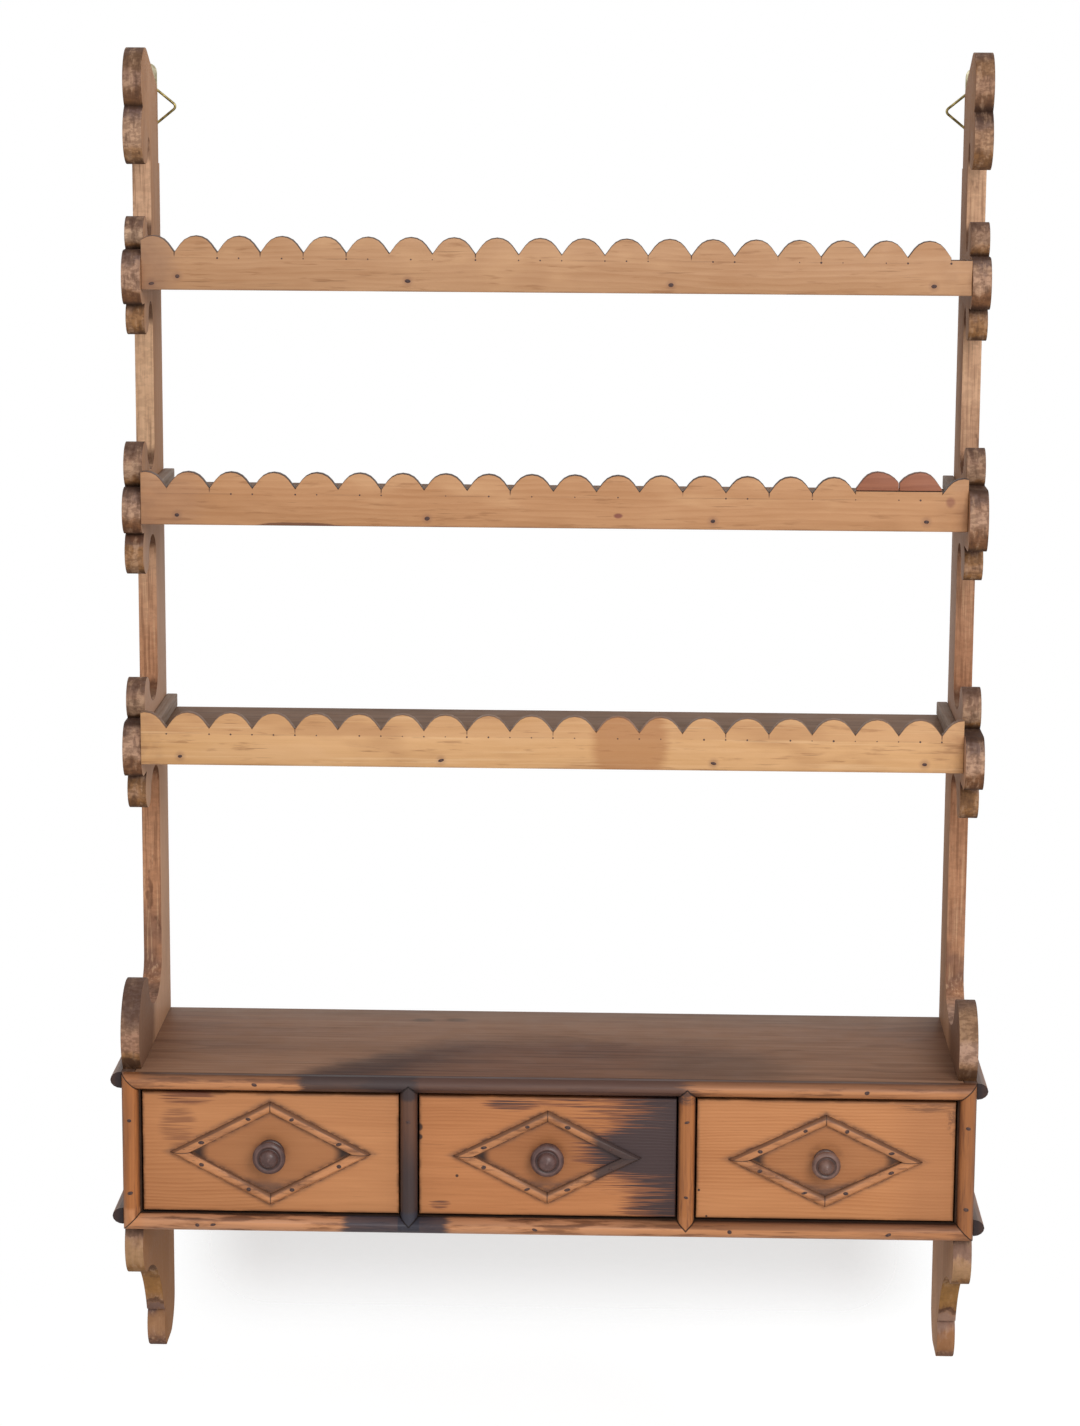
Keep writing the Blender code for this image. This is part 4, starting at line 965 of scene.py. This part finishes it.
charred = (heat + (grain - 0.5) * 0.8).rise(0.50, 0.95)
color = front.over(color, tone(124, 74, 54), reddened * heat.rise(0.02, 0.20) * 0.75)
color = front.over(color, tone(62, 50, 52), charred * heat.rise(0.05, 0.30) * 0.94)
holes = spots(front, (-0.0744, -0.0179, 0.0016), (-0.106, 0.0233, 0.0042), (-0.105, 0.0150, 0.0028))
color = front.over(color, tone(50, 38, 36), holes * 0.9)
lay_front("middle", front, color, figure, worn)

# %% Finish the right drawer
front, color, figure, worn = drawer_front("right", tone(213, 147, 96), tone(181, 116, 68))
splinters = front.noise(620.0, (0.06, 1.0, 1.0), detail=4.0, shift=1.7).rise(0.46, 0.56)
chipped = blot(front, ragged=0.4, soft=0.9, x=(0.290, 0.340), z=(0.0415, 0.0500)) * splinters
crumbled = front.noise(420.0, (0.5, 1.0, 0.6), detail=4.0, shift=3.1).rise(0.44, 0.54)
chipped = chipped.most(blot(front, ragged=0.3, soft=0.9, x=(0.3270, 0.3390), z=(0.022, 0.050)) * crumbled)
holes = spots(front, (0.1245, -0.0272, 0.0013), (0.1310, -0.0495, 0.0011))
color = front.over(color, tone(70, 46, 38), (chipped * 0.8).most(holes))
color = front.over(color, tone(170, 112, 72), front.x.rise(0.270, 0.310) * 0.45)
lay_front("right", front, color, figure, worn)
print("finished three drawer fronts")

# %% [markdown]
# The drawer boxes behind the fronts were left bare: pale pine, dusty and a little stained.

# %% Finish the drawer boxes
box = Finish("drawer_box_pine")
color, figure, fleck = pine(box, "Y", tone(206, 168, 122), tone(168, 126, 82), (0.35, -0.30), spacing=0.004)
dust = box.noise(25.0, detail=5.0).rise(0.45, 0.75)
color = box.over(color, tone(140, 104, 72), dust * 0.45)
color = box.over(color, tone(104, 72, 46), fleck * 0.5)
box.lay(color, dust * 0.2 + 0.6, figure)
for name in DRAWERS:
    dress(box.material, *[f"drawer_{name}_{part}" for part in ("side_left", "side_right", "back", "bottom")])

# %% [markdown]
# ## Diamonds
# The diamonds are thin half-round strips, mitred and nailed on. Their outer upper flanks are grey
# with dirt and their crowns are rubbed clean. On the middle drawer the scorch mark has taken the
# right-hand corner. The same smoothing as on the strips takes the facets off their section.

# %% Finish the diamonds
DIAMOND_BASE = -0.2003
DIAMOND_PROUD = 0.005


def diamond_finish(name):
    trim = Finish("diamond_pine_" + name)
    proud = (trim.y - DIAMOND_BASE) / -DIAMOND_PROUD
    color, figure, worn = strip_color(trim, "X", proud * 0.8 + 0.2, grime=0.55)
    upward = trim.facing_z.rise(0.25, 0.75)
    color = trim.over(color, tone(112, 82, 64), upward * 0.55)
    mitre = abs(trim.x - DRAWERS[name][0]).rise(0.0007, 0.0002)
    mitre = mitre.most(abs(trim.z - DRAWER_MID).rise(0.0007, 0.0002))
    color = trim.over(color, tone(60, 38, 30), mitre * 0.8)
    if name == "middle":
        color = trim.over(color, BURNT, blot(trim, ragged=0.15, soft=0.2, x=(0.038, 0.140)) * 0.92)
    return trim.lay(color, worn * 0.3 + 0.32, figure + worn * 0.5)


for name in DRAWERS:
    planed_copy(f"drawer_{name}_diamond", diamond_finish(name), "drawer_" + name)

# %% [markdown]
# ## Knobs
# Each knob was turned on a lathe: a short neck, a round rim, then a bead, a groove and a small
# domed tip. A profile of radius against distance is smoothed and spun round the knob's axis, as
# the lathe would do it. The tip of the right-hand knob is more pointed than the others.

# %% Turn the knobs
KNOB_LENGTH = 0.024
KNOB_SEGMENTS = 72
RIM = 0.40                       # where along the profile the knob is widest
KNOB_PROFILE = (                 # radius and distance from the drawer front, as shares of the knob's size
    (0.84, 0.00), (0.84, 0.05), (0.78, 0.09), (0.66, 0.13), (0.63, 0.18), (0.70, 0.23), (0.88, 0.28),
    (0.98, 0.34), (1.00, 0.40), (0.97, 0.47), (0.90, 0.54), (0.82, 0.585), (0.77, 0.60), (0.72, 0.59),
    (0.66, 0.57), (0.61, 0.57), (0.57, 0.60), (0.55, 0.66), (0.52, 0.73), (0.47, 0.80), (0.40, 0.86),
    (0.31, 0.905), (0.21, 0.94), (0.13, 0.96), (0.09, 0.985), (0.04, 0.998),
)


def between(a, b, c, d, t):
    """A share t of the way from b to c, on a smooth cubic curve that also heeds a and d."""
    square = 2 * a - 5 * b + 4 * c - d
    cube = 3 * b - a - 3 * c + d
    return 0.5 * (2 * b + (c - a) * t + square * t * t + cube * t ** 3)


def smooth_profile(points, steps=4):
    """A smooth curve through the points."""
    padded = [points[0], *points, points[-1]]
    curve = []
    for four in zip(padded, padded[1:], padded[2:], padded[3:]):
        for step in range(steps):
            curve.append(tuple(between(*values, step / steps) for values in zip(*four)))
    return curve + [points[-1]]


KNOB_SHAPES = {                  # radius, extra length of the neck, depth of the face, sharpness of the tip
    "left": (0.0136, 0.0050, 0.60, 0.0),
    "middle": (0.0138, 0.0015, 0.72, 0.0),
    "right": (0.0118, 0.0045, 0.72, 0.25),
}


def turn_knob(name, material):
    middle, _, _ = DRAWERS[name]
    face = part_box(f"drawer_{name}_front")[0].y
    mesh = bpy.data.meshes.new(f"knob_{name}")
    shape = bmesh.new()
    rings = []
    widest, neck, depth, tip = KNOB_SHAPES[name]
    for radius, reach in smooth_profile(KNOB_PROFILE):
        sharpen = 1.0 - tip * max(0.0, (reach - 0.60) / 0.40)
        forward = KNOB_LENGTH * (min(reach, RIM) + depth * max(0.0, reach - RIM))
        forward += neck * min(1.0, max(0.0, (reach - 0.15) / 0.10))
        ring = []
        for i in range(KNOB_SEGMENTS):
            turn = 2 * math.pi * i / KNOB_SEGMENTS
            r = widest * radius * sharpen
            x, z = middle + r * math.cos(turn), DRAWER_MID + r * math.sin(turn)
            ring.append(shape.verts.new((x, face - forward, z)))
        rings.append(ring)
    for here, there in zip(rings, rings[1:]):
        for i in range(KNOB_SEGMENTS):
            j = (i + 1) % KNOB_SEGMENTS
            shape.faces.new((here[i], here[j], there[j], there[i]))
    shape.faces.new(rings[0])
    shape.faces.new(rings[-1])
    bmesh.ops.recalc_face_normals(shape, faces=shape.faces)
    for polygon in shape.faces:
        polygon.smooth = True
    shape.to_mesh(mesh)
    shape.free()
    mesh.set_sharp_from_angle(angle=math.radians(50))
    mesh.materials.append(material)
    knob = bpy.data.objects.new(f"knob_{name}", mesh)
    bpy.context.scene.collection.objects.link(knob)
    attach(knob, "drawer_" + name)
    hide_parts(f"drawer_{name}_knob")
    return knob


def knob_finish(name, dark, pale):
    knob = Finish("turned_knob_wood_" + name, gloss=0.45)
    radius = from_knob(knob, name)
    turned = (radius / 0.00028).math("SINE") * 0.5 + 0.5
    mottle = knob.noise(120.0, (1.0, 0.3, 1.0), detail=3.0)
    color = knob.ramp(mottle, (0.30, dark), (0.66, pale))
    widest, neck, _, _ = KNOB_SHAPES[name]
    on_face = knob.y.rise(-0.2080 - neck, -0.2100 - neck)
    # Painted shade with dirt: the groove in the knob's face is darkened.
    groove = abs(radius - widest * 0.635).rise(0.0012, 0.0004) * on_face
    color = knob.over(color, tone(46, 28, 26), groove * 0.6)
    # Painted highlight with wear: a pale ring round the rim and a pale spot at the tip.
    rubbed_and_highlit = abs(radius - widest * 0.77).rise(0.0009, 0.0002).most(radius.rise(0.0012, 0.0004)) * on_face
    color = knob.over(color, tone(140, 108, 100), rubbed_and_highlit * 0.22)
    # Painted shade: the neck next to the drawer front is darkened, under the rim.
    color = knob.over(color, tone(46, 30, 27), knob.y.rise(-0.2070, -0.2030) * 0.5)
    return knob.lay(color, mottle * 0.20 + 0.28, turned * 0.3 + mottle, depth=0.00006)


KNOB_TONES = {
    "left": (tone(68, 46, 43), tone(100, 72, 66)),
    "middle": (tone(74, 51, 48), tone(108, 79, 74)),
    "right": (tone(92, 66, 58), tone(128, 97, 86)),
}
for name in DRAWERS:
    knob = turn_knob(name, knob_finish(name, *KNOB_TONES[name]))
    print(knob.name, len(knob.data.polygons), "faces")

# %% [markdown]
# ## Hangers
# A metal strap is let into the rear edge of each side board, with a wire ring to hang it by. The
# straps have gone a pale cream colour and the rings are dull brass; the screws are plain steel.

# %% Finish the hangers
def metal(name, pale, dark, rough, scale):
    finish = Finish(name, metallic=1.0, gloss=0.5)
    patina = finish.noise(scale, detail=6.0)
    color = finish.ramp(patina, (0.35, dark), (0.62, pale))
    brushed = finish.noise(900.0, (1.0, 1.0, 0.1), detail=2.0)
    return finish.lay(color, patina * 0.3 + rough, brushed * 0.4 + patina, depth=0.0001)


strap = metal("cream_strap", tone(226, 220, 192), tone(170, 160, 124), 0.25, 160.0)
steel = metal("screw_steel", tone(150, 146, 138), tone(84, 78, 70), 0.30, 300.0)
brass = metal("ring_brass", tone(176, 160, 104), tone(96, 82, 46), 0.20, 240.0)
for hand in ("left", "right"):
    dress(strap, "hanger_plate_" + hand)
    dress(steel, "hanger_screw_lower_" + hand, "hanger_screw_upper_" + hand)
    planed_copy("hanger_ring_" + hand, brass, "ring_" + hand, turn=70.0)

# %% [markdown]
# ## Nails
# Small iron nails hold the rails, the strips and the diamonds. One Geometry Nodes tree sets a low
# domed head on every point that it is given, each turned and sized a little differently with a
# fixed seed. The points are the nails' places on the fronts.

# %% Build the nail tree
def new_tree(name, made, *sizes):
    """An empty tree that takes places, named sizes and a seed."""
    tree = bpy.data.node_groups.new(name, "GeometryNodeTree")
    for title, kind in (("Places", "Geometry"), *[(size, "Float") for size in sizes], ("Seed", "Int")):
        tree.interface.new_socket(title, in_out="INPUT", socket_type="NodeSocket" + kind)
    tree.interface.new_socket(made, in_out="OUTPUT", socket_type="NodeSocketGeometry")
    return tree


def end_tree(tree, on_points, material):
    """Makes the instances real, gives them their material and hands them out."""
    real = tree.nodes.new("GeometryNodeRealizeInstances")
    paint = tree.nodes.new("GeometryNodeSetMaterial")
    paint.inputs["Material"].default_value = material
    result = tree.nodes.new("NodeGroupOutput")
    tree.links.new(on_points.outputs[0], real.inputs[0])
    tree.links.new(real.outputs[0], paint.inputs["Geometry"])
    tree.links.new(paint.outputs[0], result.inputs[0])
    return tree


def nail_tree(material):
    tree = new_tree("nail_heads", "Heads", "Head length", "Head width", "Head height")
    add = tree.nodes.new
    given = add("NodeGroupInput")
    head = add("GeometryNodeMeshUVSphere")
    head.inputs["Segments"].default_value = 12
    head.inputs["Rings"].default_value = 6
    shape = add("ShaderNodeCombineXYZ")
    flat = add("GeometryNodeTransform")
    on_points = add("GeometryNodeInstanceOnPoints")
    spin = add("FunctionNodeRandomValue")
    spin.data_type = "FLOAT_VECTOR"
    spin.inputs[0].default_value = (0.0, -0.35, 0.0)
    spin.inputs[1].default_value = (0.0, 0.35, 0.0)
    grow = add("FunctionNodeRandomValue")
    grow.data_type = "FLOAT_VECTOR"
    grow.inputs[0].default_value = (0.75, 0.80, 0.65)
    grow.inputs[1].default_value = (1.20, 1.10, 1.00)
    link = tree.links.new
    link(given.outputs["Head length"], shape.inputs["X"])
    link(given.outputs["Head height"], shape.inputs["Y"])
    link(given.outputs["Head width"], shape.inputs["Z"])
    link(head.outputs["Mesh"], flat.inputs["Geometry"])
    link(shape.outputs[0], flat.inputs["Scale"])
    link(given.outputs["Places"], on_points.inputs["Points"])
    link(flat.outputs[0], on_points.inputs["Instance"])
    link(given.outputs["Seed"], spin.inputs["Seed"])
    link(given.outputs["Seed"], grow.inputs["Seed"])
    link(spin.outputs["Value"], on_points.inputs["Rotation"])
    link(grow.outputs["Value"], on_points.inputs["Scale"])
    return end_tree(tree, on_points, material)


iron = Finish("nail_iron", gloss=0.3)
rust = iron.noise(700.0, detail=5.0)
color = iron.ramp(rust, (0.35, tone(54, 42, 44)), (0.65, tone(100, 73, 64)))
nail_iron = iron.lay(color, rust * 0.3 + 0.45, rust, depth=0.0002)
nails = nail_tree(nail_iron)


# %% [markdown]
# A helper runs the tree on one body's points and keeps only the plain mesh that it made, because
# the heads on a drawer have to slide with that drawer.

# %% Drive the nails
def run_tree(tree, name, points, body, slot, **sizes):
    mesh = bpy.data.meshes.new(name + "_places")
    mesh.from_pydata(points, [], [])
    holder = bpy.data.objects.new(name + "_places", mesh)
    bpy.context.scene.collection.objects.link(holder)
    modifier = holder.modifiers.new("tree", "NODES")
    modifier.node_group = tree
    for item in tree.interface.items_tree:
        if item.in_out == "INPUT" and item.name in sizes:
            modifier[item.identifier] = sizes[item.name]
    made = holder.evaluated_get(bpy.context.evaluated_depsgraph_get())
    plain = bpy.data.meshes.new_from_object(made)
    plain.name = name
    for polygon in plain.polygons:
        polygon.use_smooth = True
    holder.modifiers.remove(modifier)
    bpy.data.objects.remove(holder)
    piece = bpy.data.objects.new(name, plain)
    bpy.context.scene.collection.objects.link(piece)
    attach(piece, body)
    print(name, len(points), "places,", len(plain.polygons), "faces")
    return piece


HEAD = {"Head length": 0.0023, "Head width": 0.0017, "Head height": 0.00035}   # half sizes
places = []
for name, row in RAIL_NAILS.items():
    corner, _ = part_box("gallery_" + name)
    places += [(x, corner.y, corner.z + up) for x, up in row]
run_tree(nails, "rail_nails", places, "carcass", "screw_steel", Seed=3, **HEAD)

STRIP_NAILS = (                  # x and z on the front strips
    (-0.343, 0.028), (-0.343, -0.034), (0.343, 0.031), (0.343, -0.038), (-0.1139, 0.030),
    (0.1139, 0.033), (0.1139, -0.031), (-0.288, -0.0605), (-0.275, -0.0600), (-0.010, -0.0605),
    (0.150, -0.0600), (0.280, -0.0605), (-0.240, 0.0600), (0.260, 0.0600),
)
crown = STRIP_BASE - STRIP_PROUD
places = [(x, crown + 0.0001, z) for x, z in STRIP_NAILS]
run_tree(nails, "strip_nails", places, "carcass", "screw_steel", Seed=8, **HEAD)

for seed, name in enumerate(DRAWERS):
    middle, half_w, half_h = DRAWERS[name]
    inset = 1.0 - DIAMOND_W / 2 * math.hypot(half_w, half_h) / (half_w * half_h)
    places = []
    for right in (-1, 1):
        for up in (-1, 1):
            for share in (0.24, 0.76):
                places.append((middle + right * half_w * inset * share, DIAMOND_BASE - DIAMOND_PROUD + 0.0001,
                               DRAWER_MID + up * half_h * inset * (1.0 - share)))
    run_tree(nails, f"diamond_nails_{name}", places, "drawer_" + name, "screw_steel", Seed=20 + seed, **HEAD)

# %% [markdown]
# ## Compass pricks
# A compass point left a small hole at the centre of every scallop and under every notch. A second
# tree walks along a rail in half steps, sets a tiny dark dimple at each, and leaves some out at
# random, as the wear has done.

# %% Prick the rails
def prick_tree(material):
    tree = new_tree("compass_pricks", "Pricks", "Prick radius", "Share left")
    add = tree.nodes.new
    given = add("NodeGroupInput")
    keep = add("FunctionNodeRandomValue")
    keep.data_type = "BOOLEAN"
    dot = add("GeometryNodeMeshCircle")
    dot.fill_type = "NGON"
    dot.inputs["Vertices"].default_value = 10
    stand = add("GeometryNodeTransform")
    stand.inputs["Rotation"].default_value = (math.pi / 2, 0.0, 0.0)
    on_points = add("GeometryNodeInstanceOnPoints")
    grow = add("FunctionNodeRandomValue")
    grow.data_type = "FLOAT"
    grow.inputs[2].default_value = 0.6
    grow.inputs[3].default_value = 1.3
    link = tree.links.new
    link(given.outputs["Share left"], keep.inputs["Probability"])
    link(given.outputs["Seed"], keep.inputs["Seed"])
    link(given.outputs["Seed"], grow.inputs["Seed"])
    link(given.outputs["Prick radius"], dot.inputs["Radius"])
    link(dot.outputs["Mesh"], stand.inputs["Geometry"])
    link(given.outputs["Places"], on_points.inputs["Points"])
    link(keep.outputs[3], on_points.inputs["Selection"])
    link(stand.outputs[0], on_points.inputs["Instance"])
    link(grow.outputs[1], on_points.inputs["Scale"])
    return end_tree(tree, on_points, material)


pricks = prick_tree(nail_iron)
for name, share in (("upper", 0.55), ("middle", 0.35), ("lower", 0.85)):
    line, first, pitch = SCALLOPS[name]
    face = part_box("gallery_" + name)[0].y - 0.00004
    places = [(first + pitch * step / 2, face, line) for step in range(-1, 38)]
    places = [place for place in places if abs(place[0]) < 0.325]
    run_tree(pricks, "pricks_" + name, places, "carcass", "screw_steel",
             Seed=5, **{"Prick radius": 0.0007, "Share left": share})

# %% [markdown]
# ## Check the size and finish
# The looks must not change the object's size, so the box of the finished shelf is written next to
# the box of the bare construction.

# %% Write the two boxes and finish
shown_low, shown_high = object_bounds()
for end, growth in (("low", solid_low - shown_low), ("high", shown_high - solid_high)):
    print("grew at the", end, "end by", [round(value * 1000, 2) for value in growth], "mm")
